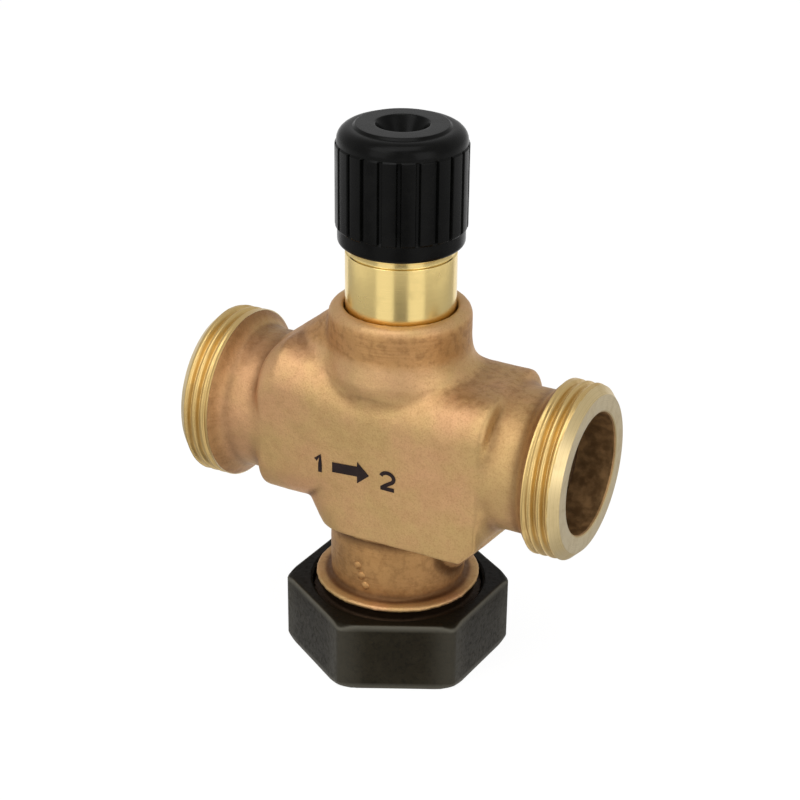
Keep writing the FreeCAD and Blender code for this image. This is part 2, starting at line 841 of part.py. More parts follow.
def union_nut():
    body = new_body("union_nut")
    plan = new_sketch(body, "nut_plan", "XY_Plane")
    draw_outline(plan, polygon(6, nut_flats, size.nut_turn, size.nut_corner_round))
    pad(body, "nut_block", plan, size.nut_height)
    bore = nut_bore / 2
    turn(body, "nut_bore", [
        (ZERO, ZERO),
        (nut_hole / 2, ZERO),
        (nut_hole / 2, size.nut_shoulder),
        (bore, size.nut_shoulder),
        (bore, size.nut_height - size.nut_mouth_bevel),
        (bore + size.nut_mouth_bevel, size.nut_height),
        (ZERO, size.nut_height),
    ], cut=True)
    start = nut_flats / 2 + size.nut_bevel_land
    far = nut_flats
    fall = (far - start) * tangent(size.nut_bevel_angle)
    for name, face, sign in (("top_bevel", size.nut_height, -1.0), ("foot_bevel", ZERO, 1.0)):
        turn(body, name, [
            (start, face),
            (far, face),
            (far, face + fall * sign),
        ], cut=True)

    blank_diameter = nut_bore - size.blank_play * 2
    turned_piece("blanking_disc", size.nut_shoulder, [
        (ZERO, ZERO),
        (blank_diameter / 2, ZERO),
        (blank_diameter / 2, size.blank_thickness),
        (ZERO, size.blank_thickness),
    ])
    gasket_level = size.nut_shoulder + size.blank_thickness
    ring("blanking_gasket", gasket_level, size.bottom_bore, lead_in_diameter, size.blank_gasket_thickness)


def check_and_write():
    doc.recompute()
    for thing in doc.Objects:
        if "Invalid" in thing.State or "Error" in thing.State:
            raise RuntimeError("%s did not build: %s" % (thing.Label, thing.getStatusString()))
    for piece in PARTS:
        if piece.Shape.isNull() or not piece.Shape.isValid():
            raise RuntimeError("%s has no valid solid" % piece.Label)
    os.makedirs("parts", exist_ok=True)
    for piece in PARTS:
        piece.Shape.exportStep("parts/%s.step" % piece.Label)


valve_body()
bonnet()
gland()
stem()
spring_set()
plug_set()
knob()
union_nut()
check_and_write()
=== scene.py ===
import json
import math

import bmesh
import bpy
import numpy as np
from mathutils import Matrix, Vector, noise
from mathutils.bvhtree import BVHTree
from mathutils.kdtree import KDTree


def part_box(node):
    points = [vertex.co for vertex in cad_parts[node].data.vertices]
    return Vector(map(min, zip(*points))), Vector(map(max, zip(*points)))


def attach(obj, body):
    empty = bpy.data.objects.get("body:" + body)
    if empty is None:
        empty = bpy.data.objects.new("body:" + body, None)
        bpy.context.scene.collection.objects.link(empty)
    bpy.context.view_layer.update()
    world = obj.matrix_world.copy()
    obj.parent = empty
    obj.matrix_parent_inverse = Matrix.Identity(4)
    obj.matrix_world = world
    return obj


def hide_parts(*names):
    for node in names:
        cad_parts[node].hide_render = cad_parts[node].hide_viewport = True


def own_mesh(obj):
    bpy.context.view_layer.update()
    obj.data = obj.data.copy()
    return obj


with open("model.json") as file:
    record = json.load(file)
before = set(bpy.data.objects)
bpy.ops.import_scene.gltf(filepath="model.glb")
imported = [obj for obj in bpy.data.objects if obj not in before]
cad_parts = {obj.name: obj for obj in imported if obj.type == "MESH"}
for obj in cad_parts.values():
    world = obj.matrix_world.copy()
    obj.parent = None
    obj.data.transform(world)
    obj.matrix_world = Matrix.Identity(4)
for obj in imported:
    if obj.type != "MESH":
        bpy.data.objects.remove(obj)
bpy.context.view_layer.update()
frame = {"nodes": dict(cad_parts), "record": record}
nodes = frame["nodes"]
mounts = {mount["name"]: mount for mount in frame["record"]["mounts"]}

# Metres. Z is the stem's axis, X the ports' axis towards the outlet, and the nut stands on Z = 0.

MM = 0.001
TURN = 2.0 * math.pi

body_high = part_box("valve_body")[1]
neck_low, neck_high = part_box("bonnet")
knob_low, knob_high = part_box("knob")
nut_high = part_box("union_nut")[1]

AXIS_LEVEL = mounts["outlet_thread"]["pos_m"][2]
PORT_END = body_high.x
PORT_CREST = mounts["outlet_thread"]["dims"]["r_mm"] * MM
PORT_BORE = mounts["outlet_bore"]["dims"]["r_mm"] * MM
BOSS_LEVEL = body_high.z
FLAT_DEPTH = 17.6 * MM


# Pieces

MERGE_DISTANCE = 0.002 * MM
SLIVER_SIZE = 0.001 * MM


def put(name, data):
    """A new object in the scene with the data given."""
    made = bpy.data.objects.new(name, data)
    bpy.context.collection.objects.link(made)
    return made


def add_piece(name, points, faces, body, material, replaced=(), crease=35.0):
    """A mesh piece with its faces outward, smooth apart from edges sharper than the crease angle."""
    mesh = bpy.data.meshes.new(name)
    mesh.from_pydata([tuple(point) for point in points], [], [tuple(face) for face in faces])
    work = bmesh.new()
    work.from_mesh(mesh)
    bmesh.ops.remove_doubles(work, verts=work.verts, dist=MERGE_DISTANCE)
    bmesh.ops.dissolve_degenerate(work, edges=work.edges, dist=SLIVER_SIZE)
    bmesh.ops.holes_fill(work, edges=work.edges, sides=4)
    bmesh.ops.recalc_face_normals(work, faces=work.faces)
    work.to_mesh(mesh)
    work.free()
    mesh.shade_smooth()
    mesh.set_sharp_from_angle(angle=math.radians(crease))
    mesh.materials.append(material)
    piece = put(name, mesh)
    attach(piece, body)
    if replaced:
        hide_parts(*replaced)
    return piece


def rounded(corners, steps=6):
    """Closed outline of (across, along, round) corners, with an arc for each round."""
    outline = []
    count = len(corners)
    for i, (across, along, radius) in enumerate(corners):
        corner = Vector((across, along))
        if not radius:
            outline.append(corner)
            continue
        back = (Vector(corners[i - 1][:2]) - corner).normalized()
        ahead = (Vector(corners[(i + 1) % count][:2]) - corner).normalized()
        half = back.angle(ahead) / 2.0
        centre = corner + (back + ahead).normalized() * radius / math.sin(half)
        reach = radius / math.tan(half)
        first = corner + back * reach - centre
        last = corner + ahead * reach - centre
        start = math.atan2(first.y, first.x)
        sweep = (math.atan2(last.y, last.x) - start + math.pi) % TURN - math.pi
        for step in range(steps + 1):
            angle = start + sweep * step / steps
            outline.append(centre + radius * Vector((math.cos(angle), math.sin(angle))))
    return outline


def split_runs(outline, longest):
    """The same closed outline with its long runs divided."""
    divided = []
    for i, point in enumerate(outline):
        after = outline[(i + 1) % len(outline)]
        parts = max(1, math.ceil((after - point).length / longest))
        divided += [point.lerp(after, part / parts) for part in range(parts)]
    return divided


def lathe(outline, angles, reach=None):
    """Points and faces of an outline of (radius, level) turned about Z.

    reach(radius, level, angle) gives the radius where it changes on the way round.
    """
    points = []
    faces = []
    rings = []
    for radius, level in outline:
        if radius < 1e-7:
            rings.append([len(points)] * len(angles))
            points.append((0.0, 0.0, level))
            continue
        rings.append(list(range(len(points), len(points) + len(angles))))
        for angle in angles:
            out = radius if reach is None else reach(radius, level, angle)
            points.append((out * math.cos(angle), out * math.sin(angle), level))
    for i, ring in enumerate(rings):
        after = rings[(i + 1) % len(rings)]
        for j in range(len(angles)):
            k = (j + 1) % len(angles)
            corners = [ring[j], ring[k], after[k], after[j]]
            face = [c for n, c in enumerate(corners) if c != corners[n - 1]]
            if len(set(face)) > 2:
                faces.append(face)
    return points, faces


def band(first, second):
    """Faces between two closed rings of points."""
    after = [*range(1, len(first)), 0]
    return [[first[j], first[k], second[k], second[j]] for j, k in enumerate(after)]


def even_angles(count):
    return [TURN * i / count for i in range(count)]


def smooth_step(low, high, value):
    share = min(1.0, max(0.0, (value - low) / (high - low)))
    return share * share * (3.0 - 2.0 * share)


# Shader building blocks

def feed(tree, socket, value):
    """Links a socket to the value where that is a socket too, or sets it. A tuple is a colour."""
    if isinstance(value, bpy.types.NodeSocket):
        tree.links.new(value, socket)
    else:
        socket.default_value = (*value, 1.0) if isinstance(value, tuple) else value


def add_node(tree, kind, settings=None, **inputs):
    made = tree.nodes.new(kind)
    for key, value in (settings or {}).items():
        setattr(made, key, value)
    for key, value in inputs.items():
        feed(tree, made.inputs[key.replace("_", " ")], value)
    return made


def new_group(name, inputs, outputs):
    """A shader group with float inputs (name, value) and float outputs."""
    group = bpy.data.node_groups.new(name, "ShaderNodeTree")
    for label, value in inputs:
        socket = group.interface.new_socket(label, in_out="INPUT", socket_type="NodeSocketFloat")
        socket.default_value = value
    for label in outputs:
        group.interface.new_socket(label, in_out="OUTPUT", socket_type="NodeSocketFloat")
    entry = group.nodes.new("NodeGroupInput")
    leave = group.nodes.new("NodeGroupOutput")
    return group, entry.outputs, leave.inputs


def use_group(tree, group, **inputs):
    return add_node(tree, "ShaderNodeGroup", {"node_tree": group}, **inputs).outputs


def object_place(tree):
    return add_node(tree, "ShaderNodeTexCoord").outputs["Object"]


def math_node(tree, operation, first, second):
    made = tree.nodes.new("ShaderNodeMath")
    made.operation = operation
    for socket, value in zip(made.inputs, (first, second)):
        feed(tree, socket, value)
    return made.outputs[0]


def mesh_value(tree, name):
    """A value that the mesh stores for its points."""
    return add_node(tree, "ShaderNodeAttribute", {"attribute_name": name}).outputs["Fac"]


def mix_colour(tree, share, first, second):
    made = tree.nodes.new("ShaderNodeMix")
    made.data_type = "RGBA"
    for number, value in ((0, share), (6, first), (7, second)):
        feed(tree, made.inputs[number], value)
    return made.outputs[2]


def wash(tree, base, mask, share, colour):
    """A base colour with another over it where the mask is, up to a share."""
    return mix_colour(tree, math_node(tree, "MULTIPLY", mask, share), base, colour)


def patch_group():
    """Mask of soft patches, so many to the metre, between a low and a high cut."""
    group, entry, leave = new_group(
        "patches", [("Scale", 100.0), ("Low", 0.4), ("High", 0.6), ("Detail", 4.0)], ["Mask"])
    cloud = add_node(
        group, "ShaderNodeTexNoise", Vector=object_place(group), Roughness=0.6,
        Scale=entry["Scale"], Detail=entry["Detail"]).outputs["Fac"]
    cut = add_node(
        group, "ShaderNodeMapRange", {"interpolation_type": "SMOOTHSTEP"},
        Value=cloud, From_Min=entry["Low"], From_Max=entry["High"])
    group.links.new(cut.outputs["Result"], leave["Mask"])
    return group


def grain_group():
    """Height of a cast skin: fine sand grain over a coarser orange peel."""
    group, entry, leave = new_group(
        "cast_grain", [("Fine Scale", 2600.0), ("Coarse Scale", 700.0)], ["Height"])
    place = object_place(group)
    fine = add_node(
        group, "ShaderNodeTexNoise", Vector=place, Scale=entry["Fine Scale"], Detail=3.0, Roughness=0.6)
    coarse = add_node(
        group, "ShaderNodeTexNoise", Vector=place, Scale=entry["Coarse Scale"], Detail=2.0, Roughness=0.5)
    both = math_node(group, "ADD", fine.outputs["Fac"], coarse.outputs["Fac"])
    group.links.new(math_node(group, "MULTIPLY", both, 0.5), leave["Height"])
    return group


def lathe_line_group():
    """Height and mask of fine tool lines across one coordinate, given in metres."""
    group, entry, leave = new_group("tool_lines", [("Along", 0.0), ("Scale", 9000.0)], ["Height", "Mask"])
    far = math_node(group, "MULTIPLY", entry["Along"], entry["Scale"])
    lines = add_node(group, "ShaderNodeTexNoise", {"noise_dimensions": "1D"}, W=far, Scale=1.0, Detail=2.0)
    group.links.new(lines.outputs["Fac"], leave["Height"])
    cut = add_node(group, "ShaderNodeMapRange", Value=lines.outputs["Fac"], From_Min=0.35, From_Max=0.7)
    group.links.new(cut.outputs["Result"], leave["Mask"])
    return group


def hollow_group():
    """How far a spot lies in a hollow or on an edge of the form, as masks from the mesh."""
    group, entry, leave = new_group("form", [("Hollow Width", 1.0), ("Edge Width", 1.0)], ["Hollow", "Edge"])
    form = mesh_value(group, "form")
    sharp = math_node(group, "MULTIPLY", form, -1.0)
    for mask, value, width in (("Hollow", form, "Hollow Width"), ("Edge", sharp, "Edge Width")):
        cut = add_node(group, "ShaderNodeMapRange", Value=value, From_Min=0.0, From_Max=entry[width])
        group.links.new(cut.outputs["Result"], leave[mask])
    return group


PATCHES = patch_group()
GRAIN = grain_group()
TOOL_LINES = lathe_line_group()
FORM = hollow_group()


def new_material(name, **constants):
    made = bpy.data.materials.new(name)
    made.use_nodes = True
    shader = made.node_tree.nodes["Principled BSDF"]
    for key, value in constants.items():
        shader.inputs[key.replace("_", " ")].default_value = value
    return made, made.node_tree, shader.inputs


def patches(tree, scale, low, high, detail=4.0):
    """Mask of soft patches."""
    return use_group(tree, PATCHES, Scale=scale, Low=low, High=high, Detail=detail)["Mask"]


def grain(tree, fine, coarse):
    """Height of the cast grain."""
    return use_group(tree, GRAIN, Fine_Scale=fine, Coarse_Scale=coarse)["Height"]


def between(tree, mask, low, high):
    """A value that goes from low to high with a mask."""
    return add_node(tree, "ShaderNodeMapRange", Value=mask, To_Min=low, To_Max=high).outputs["Result"]


def dress(tree, inputs, colour, roughness, height, distance):
    """Links a colour, a roughness and a bump to the shader."""
    bump = add_node(tree, "ShaderNodeBump", Height=height, Distance=distance, Strength=1.0)
    tree.links.new(colour, inputs["Base Color"])
    tree.links.new(roughness, inputs["Roughness"])
    tree.links.new(bump.outputs["Normal"], inputs["Normal"])


def brushed_mask(tree):
    """Level streaks of a wire brush, broken up along the wall."""
    height = add_node(tree, "ShaderNodeSeparateXYZ", Vector=object_place(tree)).outputs["Z"]
    streaks = use_group(tree, TOOL_LINES, Along=height, Scale=1500.0)["Mask"]
    breaks = patches(tree, 130.0, 0.40, 0.62)
    return math_node(tree, "MULTIPLY", streaks, breaks)


def cast_bronze():
    """Blasted bronze: pink and olive tints, a fine speckle, brown hollows that are partly painted shade,
    painted highlights on the edges, and painted shade in the creases, inside the bore and over the nut.
    """
    made, tree, inputs = new_material("cast_bronze", Metallic=0.85)
    broad = patches(tree, 42.0, 0.36, 0.66)
    small = patches(tree, 300.0, 0.40, 0.75)
    speckle = patches(tree, 2300.0, 0.45, 0.70, 2.0)
    mottle = patches(tree, 520.0, 0.44, 0.66)
    form = use_group(tree, FORM, Hollow_Width=0.8, Edge_Width=0.8)
    dark, warm, crease, soil_and_top_shade = [mesh_value(tree, name) for name in ("dark", "warm", "crease", "soil_and_top_shade")]
    rubbed = math_node(tree, "MULTIPLY", brushed_mask(tree), warm)
    warm_and_hollow = math_node(tree, "MULTIPLY", math_node(tree, "MAXIMUM", warm, form["Hollow"]), 0.42)
    soil_and_shade_mottle = math_node(tree, "MULTIPLY", mottle, math_node(tree, "MAXIMUM", warm_and_hollow, soil_and_top_shade))
    colour = mix_colour(tree, broad, (0.545, 0.362, 0.152), (0.605, 0.348, 0.176))
    washes = (
        (small, 0.30, (0.44, 0.250, 0.105)),
        (speckle, 0.20, (0.36, 0.205, 0.088)),
        # warmer tone: the boss wall's own colour, and painted shade on the lower neck and the flange's foot
        (warm, 0.75, (0.50, 0.268, 0.098)),
        (rubbed, 0.42, (0.34, 0.160, 0.054)),
        # mottled darkening: dirt, and painted shade on upward faces and where the warm and hollow marks are
        (soil_and_shade_mottle, 1.0, (0.27, 0.135, 0.050)),
        # brown hollows: partly dirt, partly painted shade, including the painted shade the form values carry
        (form["Hollow"], 0.62, (0.20, 0.088, 0.030)),
        # painted shade in narrow creases and under overhangs
        (crease, 0.75, (0.085, 0.036, 0.013)),
        # painted highlight on convex edges, and painted light on the skirt
        (form["Edge"], 0.45, (0.68, 0.455, 0.24)),
        # painted shade inside the bore and just over the nut
        (dark, 1.0, (0.030, 0.016, 0.007)),
    )
    for mask, share, over in washes:
        colour = wash(tree, colour, mask, share, over)
    dress(tree, inputs, colour, between(tree, speckle, 0.50, 0.62), grain(tree, 2600.0, 900.0), 0.13 * MM)
    return made


def turned_brass(name, axis, base, bright, roughness, line_height):
    """Turned brass with tool lines across the axis (X or Z) and a slight stain."""
    made, tree, inputs = new_material(name, Metallic=1.0)
    along = add_node(tree, "ShaderNodeSeparateXYZ", Vector=object_place(tree)).outputs[axis]
    lines = use_group(tree, TOOL_LINES, Along=along, Scale=6500.0)
    stain = patches(tree, 160.0, 0.45, 0.7)
    lit = mix_colour(tree, lines["Mask"], base, bright)
    dull = tuple(part * 0.8 for part in base)
    worn = wash(tree, lit, stain, 0.35, dull)
    dress(tree, inputs, worn, between(tree, stain, roughness, roughness * 1.45), lines["Height"], line_height)
    return made


def faced_brass():
    """Paler brass of a faced-off end, with rings of tool marks about the ports' axis."""
    made, tree, inputs = new_material("faced_brass", Metallic=0.9)
    place = add_node(tree, "ShaderNodeSeparateXYZ", Vector=object_place(tree)).outputs
    up = math_node(tree, "SUBTRACT", place["Z"], AXIS_LEVEL)
    across = math_node(tree, "MULTIPLY", place["Y"], place["Y"])
    out = math_node(tree, "SQRT", math_node(tree, "ADD", across, math_node(tree, "MULTIPLY", up, up)), 0.0)
    lines = use_group(tree, TOOL_LINES, Along=out, Scale=5200.0)
    stain = patches(tree, 320.0, 0.42, 0.72)
    lit = mix_colour(tree, lines["Mask"], (0.68, 0.56, 0.345), (0.79, 0.665, 0.43))
    worn = wash(tree, lit, stain, 0.45, (0.53, 0.415, 0.242))
    dress(tree, inputs, worn, between(tree, stain, 0.34, 0.46), lines["Height"], 0.008 * MM)
    return made


def black_plastic():
    made, tree, inputs = new_material("black_plastic", Specular_IOR_Level=0.078)
    cloud = patches(tree, 240.0, 0.35, 0.7)
    tint = mix_colour(tree, cloud, (0.0030, 0.0030, 0.0028), (0.0045, 0.0045, 0.0042))
    dress(tree, inputs, tint, between(tree, cloud, 0.22, 0.30), grain(tree, 5200.0, 1500.0), 0.012 * MM)
    return made


def black_iron():
    made, tree, inputs = new_material("black_iron", Specular_IOR_Level=0.065)
    broad = patches(tree, 130.0, 0.35, 0.7)
    small = patches(tree, 900.0, 0.45, 0.7)
    form = use_group(tree, FORM, Hollow_Width=1.0, Edge_Width=1.0)
    tint = mix_colour(tree, broad, (0.0162, 0.0130, 0.0072), (0.0232, 0.0190, 0.0112))
    spotted = wash(tree, tint, small, 0.5, (0.0062, 0.0056, 0.0042))
    # painted shade on the nut's top face
    top_shaded = mix_colour(tree, form["Hollow"], spotted, (0.0040, 0.0026, 0.0014))
    # paler edges, with a painted highlight at the hexagon's corners
    worn = mix_colour(tree, form["Edge"], top_shaded, (0.105, 0.098, 0.078))
    dress(tree, inputs, worn, between(tree, small, 0.42, 0.58), grain(tree, 2200.0, 600.0), 0.11 * MM)
    return made


def plain_finish(name, first, second, metallic, low, high, distance, specular=0.5):
    """Finish of the smaller pieces: two close tints, a varying gloss and a fine grain."""
    made, tree, inputs = new_material(name, Metallic=metallic, Specular_IOR_Level=specular)
    cloud = patches(tree, 350.0, 0.35, 0.7)
    tint = mix_colour(tree, cloud, first, second)
    dress(tree, inputs, tint, between(tree, cloud, low, high), grain(tree, 4000.0, 1200.0), distance)
    return made


BRONZE = cast_bronze()
NECK_BRASS = turned_brass(
    "turned_brass", "Z", (0.80, 0.602, 0.240), (0.87, 0.670, 0.285), 0.19, 0.006 * MM)
PORT_BRASS = turned_brass(
    "port_brass", "X", (0.585, 0.404, 0.156), (0.665, 0.472, 0.195), 0.36, 0.003 * MM)
CHAMFER_BRASS = turned_brass(
    "chamfer_brass", "X", (0.61, 0.472, 0.240), (0.69, 0.542, 0.288), 0.38, 0.004 * MM)
FACED_BRASS = faced_brass()
PLASTIC = black_plastic()
IRON = black_iron()
STEEL = plain_finish(
    "stainless", (0.46, 0.45, 0.43), (0.56, 0.55, 0.53), 1.0, 0.25, 0.35, 0.01 * MM)
RUBBER = plain_finish(
    "seal_rubber", (0.014, 0.014, 0.015), (0.022, 0.022, 0.023), 0.0, 0.5, 0.65, 0.02 * MM)
FIBRE = plain_finish("fibre", (0.20, 0.085, 0.05), (0.28, 0.13, 0.08), 0.0, 0.7, 0.85, 0.04 * MM)
INK = plain_finish(
    "print_ink", (0.012, 0.005, 0.005), (0.026, 0.012, 0.010), 0.0, 0.5, 0.65, 0.02 * MM, 0.2)
BORE = plain_finish(
    "bored_bronze", (0.27, 0.155, 0.064), (0.45, 0.265, 0.115), 0.8, 0.42, 0.6, 0.03 * MM)


# Sizes of the port threads and the sleeves that carry them

THREAD_LENGTH = 8.6 * MM
THREAD_PITCH = 2.309 * MM
THREAD_DEPTH = 1.1 * MM
THREAD_START = 1.6 * MM
THREAD_FADE = 1.0 * MM
THREAD_PHASE = 1.1 * MM
THREAD_SHARPNESS = 1.5
RUNOUT_START = THREAD_LENGTH - 1.6 * MM
RUNOUT_END = THREAD_LENGTH - 0.3 * MM
LEAD_IN = 2.1 * MM
SLEEVE_DEPTH = 9.5 * MM
SLEEVE_COVER = 0.35 * MM
SLEEVE_OVERLAP = 0.25 * MM


# Casting: the body's form with softened edges and a cast skin

SKIN_STEP = 0.55 * MM
SKIN_SHARE = 0.68
MACHINED_GIVE = 0.12
HOLLOW_DEPTH = 0.45 * MM
CREASE_DEPTH = 0.07 * MM
CREASE_START = 0.35
SHADE_OUT = 0.15 * MM
SHADE_DEPTH = 2.6 * MM
SOCKET_RADIUS = 14.6 * MM
SOCKET_DEPTH = 9.0 * MM
BORE_WALL = 1.0 * MM
BORE_COVER = 0.12 * MM
FLANGE_FOOT = PORT_END - 10.4 * MM
FLANGE_SPREAD = 2.2 * MM
BLOCK_END = 30.2 * MM
BLOCK_SPREAD = 2.6 * MM
BOSS_RADIUS = 16.95 * MM
SKIRT_TOP = 23.8 * MM
SKIRT_FOOT = 18.2 * MM
SKIRT_END = 15.0 * MM
SKIRT_SIDE_DROP = 6.0 * MM
SKIRT_FLARE = 1.0 * MM
SKIRT_WALL = 1.5 * MM
SKIRT_CLEARANCE = 2.0 * MM
FRONT_START = 0.80
FRONT_RUN = 0.17

# Waves of the skin: so many to the metre, and their height in mm
SKIN_WAVES = ((180.0, 0.10), (620.0, 0.05))

# Places round the boss: middle and spread of the distance from the stem's axis, then of the level
BOSS_FOOT = ((18.5 * MM, 3.5 * MM), (14.0 * MM, 6.0 * MM))
BOSS_SIDE = ((20.0 * MM, 5.0 * MM), (18.0 * MM, 8.0 * MM))
BOSS_SIDE_INNER = 15.0 * MM
BOSS_SIDE_START = 2.0 * MM
BOSS_SIDE_RUN = 5.0 * MM
SKIRT_HOLLOW = ((19.0 * MM, 3.0 * MM), (17.5 * MM, 5.0 * MM))

# Where the skin gets painted shade (flange foot, bore, lower neck, over the nut), a warmer tone, dust with
# painted shade on upward faces, and painted light on the skirt
FLANGE_SHADE_MIDDLE = FLANGE_FOOT + 1.2 * MM
FLANGE_SHADE_SPREAD = 1.3 * MM
FLANGE_SHADE_INNER = 18.0 * MM
FLANGE_SHADE_RISE = 20.0 * MM
LOWER_NECK_TOP = -23.0 * MM
LOWER_NECK_RADIUS = 17.6 * MM
BOSS_WALL_FOOT = SKIRT_TOP - 1.0 * MM
BOSS_WALL_TOP = BOSS_LEVEL - AXIS_LEVEL - 1.5 * MM
BOSS_WALL_INNER = 16.0 * MM
SKIRT_OUTER = 20.0 * MM
DUST_AND_SHADE_FOOT = 8.0 * MM
DUST_AND_SHADE_TOP = SKIRT_TOP + 3.0 * MM
DUST_AND_SHADE_SLOPE = 0.72
DUST_AND_SHADE_RUN = 0.2
NUT_SHADE_TOP = nut_high.z + 1.4 * MM
NUT_SHADE_RUN = 0.7 * MM
BORE_SHADE = 0.8 * MM
SKIRT_HOLLOW_LOSS = 0.7
FLANGE_SHADE_LEAST = 0.40
FLANGE_SHADE_GAIN = 0.35
LOWER_NECK_SHADE = 0.10
SKIRT_PAINTED_LIGHT = 0.3
DUST_AND_SHADE_LEFT = 0.62
DUST_AND_SHADE_RIGHT = 0.35
BORE_DARK = 0.75
SOIL_AND_SHADE_SHARE = 0.45


def fine_copy(node):
    """Even fine mesh of a node as arrays of points, edges and faces."""
    piece = put("skin_source", nodes[node].data.copy())
    remesh = piece.modifiers.new("remesh", "REMESH")
    remesh.mode = "VOXEL"
    remesh.voxel_size = SKIN_STEP
    bpy.context.view_layer.update()
    shape = piece.evaluated_get(bpy.context.evaluated_depsgraph_get()).to_mesh()
    points = np.zeros(len(shape.vertices) * 3)
    shape.vertices.foreach_get("co", points)
    edges = np.zeros(len(shape.edges) * 2, int)
    shape.edges.foreach_get("vertices", edges)
    faces = [tuple(face.vertices) for face in shape.polygons]
    bpy.data.objects.remove(piece)
    return points.reshape(-1, 3), edges.reshape(-1, 2), faces


def bell(*terms):
    """1 at the middle of every (value, middle, spread), falling off smoothly from there."""
    return np.exp(-sum(((value - middle) / spread) ** 2 for value, middle, spread in terms))


def ramp(value, start, run):
    """0 up to the start, then rising to 1 over the run."""
    return ((value - start) / run).clip(0.0, 1.0)


def neighbour_mean(values, edges):
    """Mean of each point's neighbours, for an array of columns."""
    count = np.bincount(edges.ravel(), minlength=len(values)).clip(1)
    total = np.zeros_like(values)
    for near, far in ((0, 1), (1, 0)):
        for column in range(values.shape[1]):
            total[:, column] += np.bincount(
                edges[:, near], weights=values[edges[:, far], column], minlength=len(values))
    return total / count[:, None]


def relax(values, edges, weight, rounds):
    values = values.copy()
    for _ in range(rounds):
        values += 0.5 * weight[:, None] * (neighbour_mean(values, edges) - values)
    return values


def outward(points, quads):
    """Unit normals at the points."""
    normals = np.zeros_like(points)
    across = np.cross(points[quads[:, 2]] - points[quads[:, 0]], points[quads[:, 3]] - points[quads[:, 1]])
    for corner in quads.T:
        for column in range(3):
            normals[:, column] += np.bincount(corner, weights=across[:, column], minlength=len(points))
    return normals / np.linalg.norm(normals, axis=1).clip(1e-12)[:, None]


def fill_hollows(points, edges, quads, weight, rounds):
    """Points moved outward only, so that hollows fill and edges stay."""
    for _ in range(rounds):
        normals = outward(points, quads)
        lift = np.einsum("ij,ij->i", neighbour_mean(points, edges) - points, normals).clip(0.0)
        points = points + normals * (0.5 * weight * lift)[:, None]
    return points


def hollowness(points, edges, quads):
    """How hollow the form is at each point: 1 in a hollow, -1 on an edge."""
    everywhere = np.ones(len(points))
    broad = relax(points, edges, everywhere, 45)
    depth = np.einsum("ij,ij->i", broad - points, outward(points, quads)) / HOLLOW_DEPTH
    return relax(depth[:, None], edges, everywhere, 3)[:, 0].clip(-1.0, 1.0)


def skirted(points, level):
    """The boss with a low flared skirt round its foot, level counted from the ports' axis."""
    out = np.hypot(points[:, 0], points[:, 1])
    share = ramp(SKIRT_TOP - level, 0.0, SKIRT_TOP - SKIRT_FOOT)
    front = ramp(np.abs(points[:, 1]) / out.clip(1e-9), FRONT_START, FRONT_RUN)
    last = SKIRT_END - SKIRT_SIDE_DROP * (1.0 - front)
    under = ramp(SKIRT_FOOT - level, 0.0, SKIRT_FOOT - last)
    wanted = BOSS_RADIUS + SKIRT_FLARE * (share - under * under)
    outside = np.hypot(points[:, 1], level) > PORT_BORE + SKIRT_CLEARANCE
    wall = outside & (out > BOSS_RADIUS - SKIRT_WALL) & (level > last) & (level < SKIRT_TOP)
    scale = np.where(wall, np.maximum(out, wanted) / out.clip(1e-9), 1.0)
    return points * np.stack([scale, scale, np.ones_like(scale)], axis=1)


def places(points):
    """Level over the ports' axis, distance from the stem's and the ports' axis, and from the middle."""
    level = points[:, 2] - AXIS_LEVEL
    stem_out = np.hypot(points[:, 0], points[:, 1])
    return level, stem_out, np.hypot(points[:, 1], level), np.abs(points[:, 0])


def cast_form(points, edges, quads, machined):
    """Points with the edges softened, hollows filled and the skirt added, and how hollow they are."""
    level, stem_out, port_out, end = places(points)
    wall = port_out > PORT_BORE + BORE_WALL
    flange_foot = np.where(machined, 0.0, bell((end, FLANGE_FOOT, FLANGE_SPREAD)) * wall)
    block_end = bell((end, BLOCK_END, BLOCK_SPREAD)) * wall
    boss_foot = bell((stem_out, *BOSS_FOOT[0]), (level, *BOSS_FOOT[1]))
    beside = ramp(end, BOSS_SIDE_START, BOSS_SIDE_RUN) * (stem_out > BOSS_SIDE_INNER)
    boss_side = beside * bell((stem_out, *BOSS_SIDE[0]), (level, *BOSS_SIDE[1]))

    points = relax(points, edges, np.where(machined, MACHINED_GIVE, 1.0), 4)
    points = relax(points, edges, flange_foot, 16)
    points = fill_hollows(points, edges, quads, flange_foot, 30)
    points = relax(points, edges, block_end, 2)
    points = fill_hollows(points, edges, quads, block_end, 40)
    points = skirted(points, level)
    points = relax(points, edges, boss_foot, 4)
    form = hollowness(points, edges, quads)
    points = fill_hollows(points, edges, quads, boss_side, 100)
    return relax(points, edges, boss_side, 10), form


def crease_depth(points, edges, normals):
    """How deep the narrow creases are at each point, from 0 to 1."""
    everywhere = np.ones(len(points))
    near = relax(points, edges, everywhere, 6)
    crease = np.einsum("ij,ij->i", near - points, normals) / CREASE_DEPTH - CREASE_START
    return relax(crease[:, None], edges, everywhere, 1)[:, 0].clip(0.0, 1.0)


